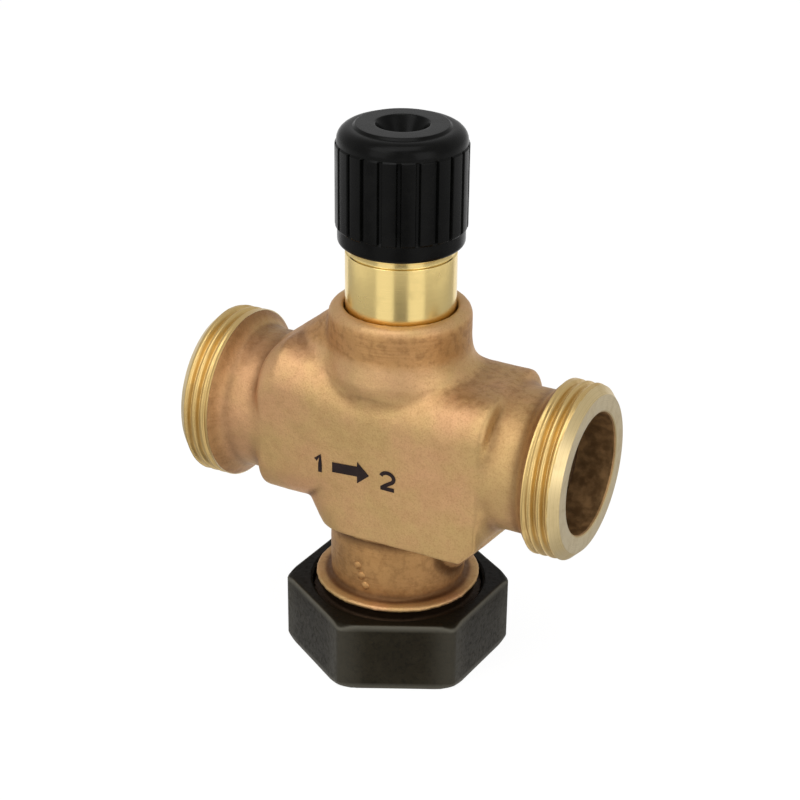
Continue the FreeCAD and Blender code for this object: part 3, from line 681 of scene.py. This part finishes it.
def clear_ports(points, port_out, end):
    """Points drawn back where the port sleeves cover them."""
    threaded = end > PORT_END - THREAD_LENGTH + SLEEVE_OVERLAP
    outer = port_out > (PORT_BORE + PORT_CREST) / 2.0
    bored = (end > PORT_END - 2.0 * SLEEVE_DEPTH) & ~outer
    radius = np.hypot(points[:, 1], points[:, 2] - AXIS_LEVEL)
    along = np.maximum(PORT_END - end, SLEEVE_COVER)
    root = PORT_CREST - np.maximum(THREAD_DEPTH, LEAD_IN - along) - 1.5 * SLEEVE_COVER
    wanted = np.where(threaded & outer, np.minimum(radius, root), radius)
    cover = np.where(end > PORT_END - SLEEVE_DEPTH, SLEEVE_COVER, BORE_COVER)
    wanted = np.where(bored, np.maximum(radius, PORT_BORE + cover), wanted)
    scale = wanted / radius.clip(1e-9)
    limit = PORT_END - SLEEVE_COVER
    across = points[:, 1] * scale
    rise = AXIS_LEVEL + (points[:, 2] - AXIS_LEVEL) * scale
    return np.stack([points[:, 0].clip(-limit, limit), across, rise], axis=1)


def cast_marks(points, edges, faces, spots, normals, form, crease):
    """Values that colour the skin: its form, dark and warm places, creases and soil, which carry painted
    shade and painted light.
    """
    level, stem_out, port_out, end = spots
    # Painted shade at the flange's foot, darker higher up.
    flange_shade = bell((end, FLANGE_SHADE_MIDDLE, FLANGE_SHADE_SPREAD)) * (port_out > FLANGE_SHADE_INNER)
    lower_neck = (level < LOWER_NECK_TOP) & (stem_out < LOWER_NECK_RADIUS)
    boss = stem_out > BOSS_WALL_INNER
    boss_wall = boss & (level > BOSS_WALL_FOOT) & (level < BOSS_WALL_TOP)
    skirt = boss & (level > SKIRT_FOOT) & (level < SKIRT_TOP) & (stem_out < SKIRT_OUTER)
    skirt_hollow = bell((stem_out, *SKIRT_HOLLOW[0]), (level, *SKIRT_HOLLOW[1]))
    # Upward faces darker: dust, and painted shade for the dimmer light on tops, more on the left side.
    upright = normals[:, 2] * (level > DUST_AND_SHADE_FOOT) * (level < DUST_AND_SHADE_TOP)
    dust_and_top_shade = ramp(upright, DUST_AND_SHADE_SLOPE, DUST_AND_SHADE_RUN)
    dust_and_shade_share = np.where(points[:, 0] < 0.0, DUST_AND_SHADE_LEFT, DUST_AND_SHADE_RIGHT)

    form = np.where(form > 0.0, form * (1.0 - SKIRT_HOLLOW_LOSS * skirt_hollow), form)
    form = np.maximum(form, (FLANGE_SHADE_LEAST + FLANGE_SHADE_GAIN * ramp(level, 0.0, FLANGE_SHADE_RISE)) * flange_shade)
    # Painted shade on the lower neck, and painted light on the skirt through the edge wash.
    form = form + np.where(lower_neck, LOWER_NECK_SHADE, 0.0) - np.where(skirt, SKIRT_PAINTED_LIGHT, 0.0)
    form = form + dust_and_top_shade * dust_and_shade_share
    # Painted shade in creases and under what hangs over the lower neck.
    crease = np.maximum(crease * (1.0 - skirt_hollow), shade_under(points, faces, lower_neck))
    # Warmer tone: own colour on the boss wall, painted shade on the lower neck and the flange's foot.
    warm = np.maximum(np.where(lower_neck | boss_wall, 1.0, 0.0), flange_shade)
    warm = relax(warm[:, None], edges, np.ones(len(points)), 6)[:, 0]
    # Painted shade: near black inside the bore and just over the nut.
    nut_shade = ramp(NUT_SHADE_TOP - points[:, 2], 0.0, NUT_SHADE_RUN)
    dark = np.maximum(np.where(port_out < PORT_BORE + BORE_SHADE, BORE_DARK, 0.0), nut_shade)
    return {"form": form, "dark": dark, "warm": warm, "crease": crease, "soil_and_top_shade": SOIL_AND_SHADE_SHARE * dust_and_top_shade}


def casting():
    points, edges, faces = fine_copy("valve_body")
    quads = np.array([face if len(face) == 4 else face + face[-1:] for face in faces])
    spots = places(points)
    stem_out, port_out, end = spots[1:]
    socket = (stem_out < SOCKET_RADIUS) & (points[:, 2] > BOSS_LEVEL - SOCKET_DEPTH)
    machined = (end > PORT_END - THREAD_LENGTH) | socket | (points[:, 2] < nut_high.z)
    points, form = cast_form(points, edges, quads, machined)
    normals = outward(points, quads)
    crease = crease_depth(points, edges, normals)
    waves = np.array([
        sum(noise.noise(Vector(point) * scale) * height for scale, height in SKIN_WAVES)
        for point in points])
    points = points + normals * (waves * np.where(machined, 0.0, 1.0) * MM)[:, None]
    points = clear_ports(points, port_out, end)
    marks = cast_marks(points, edges, faces, spots, normals, form, crease)
    piece = add_piece("casting", points, faces, "valve", BRONZE, ["valve_body"], crease=60.0)
    thin_out(piece, SKIN_SHARE)
    mark_points(piece, points, **marks)
    return piece


def shade_under(points, faces, chosen):
    """How close something hangs over each chosen point: 1 when it touches, 0 from the shade's depth on."""
    tree = BVHTree.FromPolygons([tuple(point) for point in points], faces)
    shade = np.zeros(len(points))
    for index in np.flatnonzero(chosen):
        x, y, z = points[index]
        out = math.hypot(x, y)
        start = Vector((x, y, z)) + Vector((x, y, 0.0)) * (SHADE_OUT / out)
        distance = tree.ray_cast(start, Vector((0.0, 0.0, 1.0)), SHADE_DEPTH)[3]
        if distance is not None:
            shade[index] = 1.0 - distance / SHADE_DEPTH
    return shade


def thin_out(piece, ratio):
    """Fewer faces for a finished piece, most of them taken where it is flat."""
    thinner = piece.modifiers.new("thinner", "DECIMATE")
    thinner.ratio = ratio
    bpy.context.view_layer.update()
    shape = bpy.data.meshes.new_from_object(piece.evaluated_get(bpy.context.evaluated_depsgraph_get()))
    piece.modifiers.clear()
    piece.data = shape


def mark_points(piece, points, **marks):
    """Store values that were worked out for the points, such as how hollow or sharp the form is there."""
    tree = KDTree(len(points))
    for index, point in enumerate(points):
        tree.insert(point, index)
    tree.balance()
    nearest = [tree.find(vertex.co)[1] for vertex in piece.data.vertices]
    for name, values in marks.items():
        stored = piece.data.attributes.new(name, "FLOAT", "POINT")
        stored.data.foreach_set("value", np.asarray(values, float)[nearest])


# Pipe threads of the side ports

THREAD_SPLITS = 144
PITCH_SPLITS = 16
FACE_SLOT = 1
BORE_SLOT = 2
CHAMFER_SLOT = 3
FACE_LEAST = 0.9
CHAMFER_LEAST = 0.6
BORE_MARGIN = 0.1 * MM
RIM_LAND = 0.12 * MM
MOUTH_ROUND = 0.5 * MM
MOUTH_MIDDLE = (0.15 * MM, 0.2 * MM)


def thread_radius(along, angle):
    """Radius of the port's thread so far from the end face, at an angle."""
    turn = ((along - THREAD_PHASE) / THREAD_PITCH + angle / TURN) % 1.0
    depth = THREAD_DEPTH * (0.5 - 0.5 * math.cos(TURN * turn)) ** THREAD_SHARPNESS
    depth *= smooth_step(THREAD_START, THREAD_START + THREAD_FADE, along)
    lead = max(0.0, LEAD_IN - along)
    runout = 1.0 - smooth_step(RUNOUT_START, RUNOUT_END, along)
    return min(PORT_CREST - depth * runout, PORT_CREST - lead)


def thread_mesh(angles):
    """Points (along, angle, radius) and faces of the thread, in rows that follow its helix."""
    turns = math.ceil(THREAD_LENGTH / THREAD_PITCH) + 1
    points = []
    index = {}
    for row in range(-PITCH_SPLITS, turns * PITCH_SPLITS + 1):
        for j, angle in enumerate(angles):
            along = (row + PITCH_SPLITS * (1.0 - j / THREAD_SPLITS)) * THREAD_PITCH / PITCH_SPLITS
            along = min(THREAD_LENGTH, max(0.0, along))
            index[row, j] = len(points)
            points.append((along, angle, thread_radius(along, angle)))
    faces = []
    for row, j in index:
        if j + 1 < THREAD_SPLITS:
            corners = [(row, j), (row, j + 1), (row + 1, j + 1), (row + 1, j)]
        else:
            before = row - PITCH_SPLITS
            corners = [(row, j), (before, 0), (before + 1, 0), (row + 1, j)]
        if all(corner in index for corner in corners):
            faces.append([index[corner] for corner in corners])
    return points, faces


def port_thread(name, side):
    """Threaded sleeve of one port: thread, end face and the mouth of its bore."""
    angles = even_angles(THREAD_SPLITS)
    points, faces = thread_mesh(angles)
    section = [
        (0.0, None),
        (0.0, thread_radius(0.0, 0.0) - RIM_LAND),
        (0.0, (PORT_BORE + PORT_CREST - LEAD_IN) / 2.0),
        (0.0, PORT_BORE + MOUTH_ROUND),
        (MOUTH_MIDDLE[0], PORT_BORE + MOUTH_MIDDLE[1]),
        (MOUTH_ROUND, PORT_BORE),
        (SLEEVE_DEPTH * 0.5, PORT_BORE),
        (SLEEVE_DEPTH, PORT_BORE),
        (SLEEVE_DEPTH, PORT_BORE + 2.0 * SLEEVE_COVER),
        (THREAD_LENGTH, PORT_CREST - THREAD_DEPTH - 3.0 * SLEEVE_COVER),
        (THREAD_LENGTH, None),
    ]
    rings = []
    for along, radius in section:
        rings.append(range(len(points), len(points) + THREAD_SPLITS))
        for angle in angles:
            out = thread_radius(along, angle) if radius is None else radius
            points.append((along, angle, out))
    for first, second in zip(rings, rings[1:]):
        faces += band(first, second)
    spots = [
        (side * (PORT_END - along), radius * math.cos(angle), AXIS_LEVEL + radius * math.sin(angle))
        for along, angle, radius in points
    ]
    piece = add_piece(name, spots, faces, "valve", PORT_BRASS, crease=28.0)
    for finish in (FACED_BRASS, BORE, CHAMFER_BRASS):
        piece.data.materials.append(finish)
    for polygon in piece.data.polygons:
        out = math.hypot(polygon.center.y, polygon.center.z - AXIS_LEVEL)
        facing = abs(polygon.normal.x)
        if out < PORT_BORE + BORE_MARGIN:
            polygon.material_index = BORE_SLOT
        elif facing > FACE_LEAST:
            polygon.material_index = FACE_SLOT
        elif facing > CHAMFER_LEAST and abs(polygon.center.x) > PORT_END - LEAD_IN:
            polygon.material_index = CHAMFER_SLOT
    return piece


# Neck

NECK_SPLITS = 256


def neck():
    base, top = neck_low.z, neck_high.z
    thread = neck_high.x
    plain = thread - 0.17 * MM
    spigot = plain - 1.15 * MM
    seat = BOSS_LEVEL - 7.3 * MM
    thread_start = top - 10.5 * MM
    groove_start = thread_start - 1.6 * MM
    waist = plain - 0.45 * MM
    slope = 0.25 * MM
    chamfer = 1.6 * MM
    pocket = 9.0 * MM
    stem_hole = 4.05 * MM
    floor = base + 7.0 * MM
    outline = rounded([
        (stem_hole, base, 0), (spigot, base, 0), (spigot, seat, 0), (plain, seat, 0),
        (plain, groove_start, 0.18 * MM), (waist, groove_start + slope, 0.15 * MM),
        (waist, thread_start - slope, 0.15 * MM), (thread, thread_start, 0.12 * MM),
        (thread, top - chamfer, 0.2 * MM), (thread - chamfer, top, 0.2 * MM), (pocket, top, 0),
        (pocket, floor, 0), (stem_hole, floor, 0)], 4)
    points, faces = lathe(outline, even_angles(NECK_SPLITS))
    return add_piece("neck", points, faces, "valve", NECK_BRASS, ["bonnet"])


# Hand knob

GROOVES = 22
GROOVE_WIDTH = 0.95 * MM
GROOVE_DEPTH = 0.75 * MM
GROOVE_SPLITS = 28
GROOVE_ROUND = 0.18 * MM
KNOB_RUN = 0.9 * MM


def hand_knob():
    base, top = knob_low.z, knob_high.z
    outer = max(knob_high.x, knob_high.y)
    bore = outer - 2.0 * MM
    foot = outer - 0.5 * MM
    rim = outer - 0.35 * MM
    foot_level = base + 4.6 * MM
    rim_level = top - 4.6 * MM
    deck = top - 0.6 * MM
    cap = 11.3 * MM
    ceiling = base + 19.6 * MM
    step = 0.55 * MM
    dish_mouth = 6.3 * MM
    dish_foot = 3.2 * MM
    dish_floor = top - 5.2 * MM
    outline = rounded([
        (bore, base, 0.2 * MM), (foot, base, 1.2 * MM),
        (foot, foot_level - step, 0.1 * MM), (outer, foot_level, 0.2 * MM),
        (outer, rim_level, 0.2 * MM), (rim, rim_level + 0.35 * MM, 0.1 * MM),
        (rim, deck, 3.2 * MM), (cap, deck, 0.3 * MM), (cap - 0.6 * MM, top, 0.35 * MM),
        (dish_mouth, top, 0.5 * MM), (dish_foot, dish_floor, 0.8 * MM), (0.0, dish_floor, 0),
        (0.0, ceiling, 0), (bore, ceiling, 0)], 7)
    outline = split_runs(outline, KNOB_RUN)
    period = TURN / GROOVES

    def reach(radius, level, angle):
        if radius < bore + 0.5 * MM or level > rim_level + 0.6 * MM or level < base + 2.0 * MM:
            return radius
        off = abs((angle + period / 2.0) % period - period / 2.0) * outer
        cut = 1.0 - smooth_step(GROOVE_WIDTH / 2.0 - GROOVE_ROUND, GROOVE_WIDTH / 2.0 + GROOVE_ROUND, off)
        low = smooth_step(foot_level - step, foot_level + 0.1 * MM, level)
        high = 1.0 - smooth_step(rim_level - 0.2 * MM, rim_level + 0.4 * MM, level)
        return radius - (radius - min(radius, outer - GROOVE_DEPTH)) * cut * low * high

    points, faces = lathe(outline, even_angles(GROOVES * GROOVE_SPLITS), reach)
    return add_piece("hand_knob", points, faces, "knob_set", PLASTIC, ["knob"], crease=40.0)


# Union nut

NUT_WALL = 2.945 * MM
NUT_ROUND = 2.2 * MM
NUT_EDGE = 0.45 * MM
NUT_EDGE_ROUND = 0.29
NUT_MOUTH = 0.6 * MM
NUT_TURN = math.radians(56.6)
NUT_BORE = PORT_CREST + 0.25 * MM
NUT_HOLE = NUT_BORE - 5.205 * MM
NUT_SHOULDER = 3.0 * MM
NUT_BEVEL_LAND = 2.05 * MM
NUT_BEVEL_SLOPE = math.tan(math.radians(30.0))
NUT_TOP_POINTS = (4, 5)
NUT_EDGE_POINTS = (7, 8, 14, 15)
NUT_WALL_LEVELS = (0.90, 0.82, 0.5, 0.18, 0.10)
NUT_TOP_SHADE = 0.8
NUT_CORNER_HIGHLIGHT = 0.35
NUT_FLAT = NUT_BORE + NUT_WALL
HALF_SIDE = TURN / 12.0
FLAT_TURN = math.atan((NUT_FLAT - NUT_ROUND) * math.tan(HALF_SIDE) / NUT_FLAT)


def nut_off(angle):
    """Turn from the middle of the nearest side of the hexagon."""
    return abs((angle - NUT_TURN + HALF_SIDE) % (2.0 * HALF_SIDE) - HALF_SIDE)


def nut_reach(angle):
    """Distance from the axis to the side of the hexagon with round corners."""
    off = nut_off(angle)
    if off <= FLAT_TURN:
        return NUT_FLAT / math.cos(off)
    middle = (NUT_FLAT - NUT_ROUND) / math.cos(HALF_SIDE)
    aside = HALF_SIDE - off
    return middle * math.cos(aside) + math.sqrt(NUT_ROUND ** 2 - (middle * math.sin(aside)) ** 2)


def nut_angles():
    """Angles round the nut, closer together at the corners."""
    angles = []
    left = 2.0 * (HALF_SIDE - FLAT_TURN)
    for side in range(6):
        middle = NUT_TURN + side * 2.0 * HALF_SIDE
        angles += [middle + FLAT_TURN * (i / 9.0) for i in range(-9, 9)]
        angles += [middle + FLAT_TURN + left * i / 10.0 for i in range(10)]
    return angles


def union_nut():
    height = nut_high.z
    bevel_start = NUT_FLAT + NUT_BEVEL_LAND
    angles = nut_angles()
    section = []
    for angle in angles:
        side = nut_reach(angle)
        drop = max(0.0, side - bevel_start) * NUT_BEVEL_SLOPE
        brink = min(side - 2.0 * NUT_EDGE, bevel_start)
        half = NUT_EDGE * NUT_EDGE_ROUND
        top = [
            (brink, height), (side - NUT_EDGE, height - max(0.0, drop - NUT_EDGE * NUT_BEVEL_SLOPE)),
            (side - half, height - drop - half), (side, height - drop - NUT_EDGE)]
        wall = [(side, height * share) for share in NUT_WALL_LEVELS]
        foot = [(out, height - rise) for out, rise in reversed(top)]
        section.append(
            [(NUT_HOLE, 0.0), (NUT_HOLE, NUT_SHOULDER), (NUT_BORE, NUT_SHOULDER),
             (NUT_BORE, height - NUT_MOUTH), (NUT_BORE + NUT_MOUTH, height)] + top + wall + foot)
    count = len(section[0])
    points = []
    form = []
    for angle, ring in zip(angles, section):
        points += [(out * math.cos(angle), out * math.sin(angle), rise) for out, rise in ring]
        # The corners' paleness is a painted highlight, and the top face's darkening a painted shade.
        corner = smooth_step(0.5, 1.0, nut_off(angle) / HALF_SIDE)
        for number in range(count):
            edge = 1.0 if number in NUT_EDGE_POINTS else 0.0
            side = NUT_CORNER_HIGHLIGHT * corner if number > NUT_EDGE_POINTS[0] else 0.0
            top = NUT_TOP_SHADE if number in NUT_TOP_POINTS else 0.0
            form.append(top - max(edge, side))
    rings = [range(start, start + count) for start in range(0, len(points), count)]
    faces = []
    for i, ring in enumerate(rings):
        faces += band(rings[i - 1], ring)
    piece = add_piece("hexagon_nut", points, faces, "valve", IRON, ["union_nut"], crease=38.0)
    mark_points(piece, points, form=form)
    return piece


# Return spring, made at the length of its part

SPRING_WIRE = 1.6 * MM
SPRING_TURNS = 5
SPRING_STEPS = 48
WIRE_STEPS = 14
SPRING_PLAY = 0.02 * MM
SPRING_CLOSED = 1.02 * SPRING_WIRE


def spring_rise(turn, height):
    """Height of the wire's middle over the first turn's start, with a closed turn at each end."""
    if turn < 1.0:
        return SPRING_CLOSED * turn
    if turn > SPRING_TURNS - 1.0:
        return height - SPRING_CLOSED * (SPRING_TURNS - turn)
    return SPRING_CLOSED + (turn - 1.0) * (height - 2.0 * SPRING_CLOSED) / (SPRING_TURNS - 2.0)


def coil_spring():
    low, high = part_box("return_spring")
    half = SPRING_WIRE / 2.0
    radius = (high.x - low.x) / 2.0 - half
    length = high.z - low.z - 2.0 * SPRING_PLAY
    points = []
    for step in range(SPRING_TURNS * SPRING_STEPS + 1):
        turn = step / SPRING_STEPS
        level = low.z + SPRING_PLAY + half + spring_rise(turn, length - SPRING_WIRE)
        for number in range(WIRE_STEPS):
            way = TURN * number / WIRE_STEPS
            out = radius + half * math.cos(way)
            points.append((
                out * math.cos(TURN * turn), out * math.sin(TURN * turn), level + half * math.sin(way)))
    rings = [range(start, start + WIRE_STEPS) for start in range(0, len(points), WIRE_STEPS)]
    faces = []
    for first, second in zip(rings, rings[1:]):
        faces += band(first, second)
    faces += [rings[0], rings[-1]]
    piece = add_piece("coil_spring", points, faces, "valve", STEEL, ["return_spring"])
    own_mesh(piece)
    return piece


# Flow arrow with plain port numbers, printed on the front flat

PRINT_PROUD = 0.11 * MM
PRINT_SINK = 0.25 * MM
PRINT_LINE_MM = 0.95
FRONT_DISTANCE = 100.0 * MM


def front_hit(ground, x, z):
    """Where a line from the front meets the casting, and the normal there."""
    return ground.ray_cast(Vector((x, -FRONT_DISTANCE, z)), Vector((0.0, 1.0, 0.0)))[:2]


def printed(name, outlines, ground):
    """Flat marks of (x, level) outlines in mm, laid on the casting's front."""
    points = []
    faces = []
    for outline in outlines:
        start = len(points)
        count = len(outline)
        for lift in (PRINT_PROUD, -PRINT_SINK):
            for across, along in outline:
                x, z = across * MM, AXIS_LEVEL + along * MM
                hit = front_hit(ground, x, z)[0]
                points.append((x, (hit.y if hit else -FLAT_DEPTH) - lift, z))
        front = range(start, start + count)
        back = range(start + count, start + 2 * count)
        faces += [front, reversed(back)] + band(front, back)
    return add_piece(name, points, faces, "valve", INK, crease=30.0)


def stroke(path, width):
    """Outline of a line of even width along a path of points."""
    line = [Vector(point) for point in path]
    left = []
    right = []
    for i, point in enumerate(line):
        ahead = line[min(i + 1, len(line) - 1)] - point
        back = point - line[max(i - 1, 0)]
        along = (ahead.normalized() + back.normalized()).normalized()
        side = Vector((-along.y, along.x)) * width / 2.0
        left.append(tuple(point + side))
        right.append(tuple(point - side))
    return left + right[::-1]


def flow_marks(ground):
    arrow = [
        (-8.7, -3.4), (-5.4, -3.2), (-2.05, -3.0), (-2.05, -1.75), (-0.5, -3.15), (1.15, -4.7),
        (-0.5, -6.1), (-2.05, -7.4), (-2.05, -5.6), (-5.4, -5.8), (-8.7, -6.0)]
    printed("flow_arrow", [arrow], ground)
    one = stroke([(-13.2, -3.7), (-12.0, -2.5), (-12.0, -4.6), (-12.0, -6.8)], PRINT_LINE_MM)
    curve = [
        (6.0 + 1.7 * math.cos(a), -4.0 + 1.35 * math.sin(a)) for a in np.radians(range(165, -46, -15))]
    two = stroke(curve + [(5.6, -6.0), (4.5, -6.85)], PRINT_LINE_MM)
    two_foot = stroke([(4.2, -6.9), (6.0, -6.9), (7.8, -6.9)], PRINT_LINE_MM)
    printed("port_numbers", [one, two, two_foot], ground)


# Raised dots on the lower neck

DOT_PLACES_MM = ((-2.6, -30.6), (-1.5, -33.1), (-0.4, -35.6))
DOT_RADIUS = 1.1 * MM
DOT_HEIGHT = 0.42 * MM
DOT_SINK = 0.2 * MM
DOT_STEPS = 5
DOT_SPLITS = 24


def cast_dots(ground):
    points = []
    faces = []
    outline = [(DOT_RADIUS, -DOT_SINK)]
    for step in range(DOT_STEPS + 1):
        angle = math.pi / 2.0 * step / DOT_STEPS
        outline.append((DOT_RADIUS * math.cos(angle), DOT_HEIGHT * math.sin(angle)))
    outline.append((0.0, -DOT_SINK))
    for across, along in DOT_PLACES_MM:
        hit, normal = front_hit(ground, across * MM, AXIS_LEVEL + along * MM)
        turned = Vector((0.0, normal.y, 0.0)).to_track_quat("Z", "Y").to_matrix()
        dot_points, dot_faces = lathe(outline, even_angles(DOT_SPLITS))
        start = len(points)
        points += [hit + turned @ Vector(point) for point in dot_points]
        faces += [[start + corner for corner in face] for face in dot_faces]
    piece = add_piece("cast_dots", points, faces, "valve", BRONZE)
    mark_points(piece, points, form=[0.0] * len(points), dark=[0.0] * len(points), warm=[1.0] * len(points))
    return piece


# Build

skin = casting()
port_thread("outlet_thread", 1.0)
port_thread("inlet_thread", -1.0)
neck()
hand_knob()
union_nut()
coil_spring()
ground = BVHTree.FromObject(skin, bpy.context.evaluated_depsgraph_get())
flow_marks(ground)
cast_dots(ground)

FINISHES = {
    "cast_bronze": BRONZE, "turned_brass": NECK_BRASS, "black_plastic": PLASTIC, "black_iron": IRON,
    "stainless": STEEL, "seal_rubber": RUBBER, "fibre": FIBRE,
}
for subpart in frame["record"]["subparts"]:
    slots = nodes[subpart["node"]].data.materials
    slots.clear()
    slots.append(FINISHES[subpart["material_slot"]])


# Floor, light and camera

WHITE = (1.0, 1.0, 1.0)
FLOOR_HALF = 4.0
FLOOR_GLOW = 1.1
FLOOR_GLOW_SHARE = 0.86


def new_stage(name, corners, material):
    mesh = bpy.data.meshes.new(name)
    mesh.from_pydata(corners, [], [tuple(range(len(corners)))])
    mesh.materials.append(material)
    piece = put(name, mesh)
    return piece


def looking_rays(tree):
    """Masks of the rays from the camera, and of those off metal or through glass."""
    path = add_node(tree, "ShaderNodeLightPath").outputs
    mirrored = math_node(tree, "MAXIMUM", path["Is Glossy Ray"], path["Is Transmission Ray"])
    return path["Is Camera Ray"], mirrored


def bare_material(name):
    """A material with nothing but its output."""
    made = bpy.data.materials.new(name)
    made.use_nodes = True
    made.node_tree.nodes.clear()
    return made, made.node_tree, made.node_tree.nodes.new("ShaderNodeOutputMaterial")


def floor_finish():
    """Pale floor that stays near white for the camera and still takes the shadow."""
    made, tree, leave = bare_material("floor")
    plain = add_node(tree, "ShaderNodeBsdfDiffuse", Color=(0.82, 0.81, 0.79))
    glow = add_node(tree, "ShaderNodeEmission", Color=WHITE, Strength=FLOOR_GLOW)
    looked_at = math_node(tree, "MAXIMUM", *looking_rays(tree))
    blend = add_node(tree, "ShaderNodeMixShader")
    tree.links.new(math_node(tree, "MULTIPLY", looked_at, FLOOR_GLOW_SHARE), blend.inputs[0])
    tree.links.new(plain.outputs[0], blend.inputs[1])
    tree.links.new(glow.outputs[0], blend.inputs[2])
    tree.links.new(blend.outputs[0], leave.inputs["Surface"])
    return made


floor_corners = [(x * FLOOR_HALF, y * FLOOR_HALF, 0.0) for x, y in ((-1, -1), (1, -1), (1, 1), (-1, 1))]
new_stage("floor", floor_corners, floor_finish())

CAMERA_TURN = math.radians(27.185)
CAMERA_TILT = math.radians(26.690)
CAMERA_ROLL = math.radians(0.613)
CAMERA_DISTANCE = 495.68 * MM
CAMERA_FOCUS = 2061.13
FRAME_PIXELS = 800
FRAME_CENTRE = (399.44, 427.67)


def direction(turn, tilt):
    """Direction away from the object, turned about Z from the front and tilted up."""
    return Vector((
        math.sin(turn) * math.cos(tilt), -math.cos(turn) * math.cos(tilt), math.sin(tilt)))


def add_camera():
    target = Vector((0.0, 0.0, AXIS_LEVEL))
    back = direction(CAMERA_TURN, CAMERA_TILT)
    right = Vector((math.cos(CAMERA_TURN), math.sin(CAMERA_TURN), 0.0))
    up = back.cross(right)
    cosine, sine = math.cos(CAMERA_ROLL), math.sin(CAMERA_ROLL)
    right, up = right * cosine + up * sine, up * cosine - right * sine
    data = bpy.data.cameras.new("camera")
    data.sensor_width = 36.0
    data.lens = data.sensor_width * CAMERA_FOCUS / FRAME_PIXELS
    data.shift_x = 0.5 - FRAME_CENTRE[0] / FRAME_PIXELS
    data.shift_y = FRAME_CENTRE[1] / FRAME_PIXELS - 0.5
    data.clip_start = 0.01
    camera = put("camera", data)
    turned = Matrix((right, up, back)).transposed().to_4x4()
    camera.matrix_world = Matrix.Translation(target + back * CAMERA_DISTANCE) @ turned
    bpy.context.scene.camera = camera


def add_softbox(name, turn, tilt, distance, size, power):
    """Soft light around the object: turn from the camera's side, tilt above the floor, in degrees."""
    data = bpy.data.lights.new(name, "AREA")
    data.shape = "RECTANGLE"
    data.size, data.size_y = size
    data.energy = power
    lamp = put(name, data)
    away = direction(CAMERA_TURN + math.radians(turn), math.radians(tilt))
    lamp.location = Vector((0.0, 0.0, AXIS_LEVEL)) + away * distance
    lamp.rotation_euler = away.to_track_quat("Z", "Y").to_euler()


def card_finish(name, strength):
    made, tree, leave = bare_material(name)
    glow = add_node(tree, "ShaderNodeEmission", Color=WHITE, Strength=strength)
    tree.links.new(glow.outputs[0], leave.inputs["Surface"])
    return made


CARD_REACH = (55.0 * MM, 420.0 * MM)
CARD_LEVEL = 1.0 * MM


def add_card(name, turn, half_width, strength):
    """Reflector lying just over the floor in front of the object, seen only in its polished metal."""
    corners = []
    near, far = CARD_REACH
    for distance, side in ((near, -1), (near, 1), (far, 1), (far, -1)):
        way = CAMERA_TURN + math.radians(turn + side * half_width)
        corners.append((math.sin(way) * distance, -math.cos(way) * distance, CARD_LEVEL))
    card = new_stage(name, corners, card_finish(name, strength))
    card.visible_camera = False
    card.visible_diffuse = False
    card.visible_shadow = False


SKY_FILL = 0.36
SKY_HORIZON = 0.75
SKY_ZENITH = 0.62


def add_world():
    world = bpy.data.worlds.new("studio")
    world.use_nodes = True
    tree = world.node_tree
    sky = tree.nodes["Background"]
    feed(tree, sky.inputs["Color"], WHITE)
    seen, mirrored = looking_rays(tree)
    way = add_node(tree, "ShaderNodeTexCoord").outputs["Generated"]
    height = add_node(tree, "ShaderNodeSeparateXYZ", Vector=way).outputs["Z"]
    pale = between(tree, height, SKY_HORIZON, SKY_ZENITH)
    metal = between(tree, mirrored, SKY_FILL, pale)
    shown = between(tree, seen, metal, 1.0)
    tree.links.new(shown, sky.inputs["Strength"])
    bpy.context.scene.world = world


add_camera()
add_world()
add_softbox("left_softbox", -42.0, 24.0, 0.85, (0.45, 0.7), 1.5)
add_softbox("right_softbox", 38.0, 20.0, 0.85, (0.45, 0.7), 1.8)
add_softbox("high_softbox", -48.0, 58.0, 1.0, (0.5, 0.5), 1.9)
add_softbox("top_softbox", 10.0, 80.0, 1.0, (0.6, 0.6), 2.2)
add_card("middle_card", 0.0, 14.0, 0.28)
add_card("left_card", -92.0, 42.0, 0.52)
add_card("right_card", 90.0, 42.0, 0.52)
bpy.context.scene.view_settings.view_transform = "Standard"

bpy.context.view_layer.update()
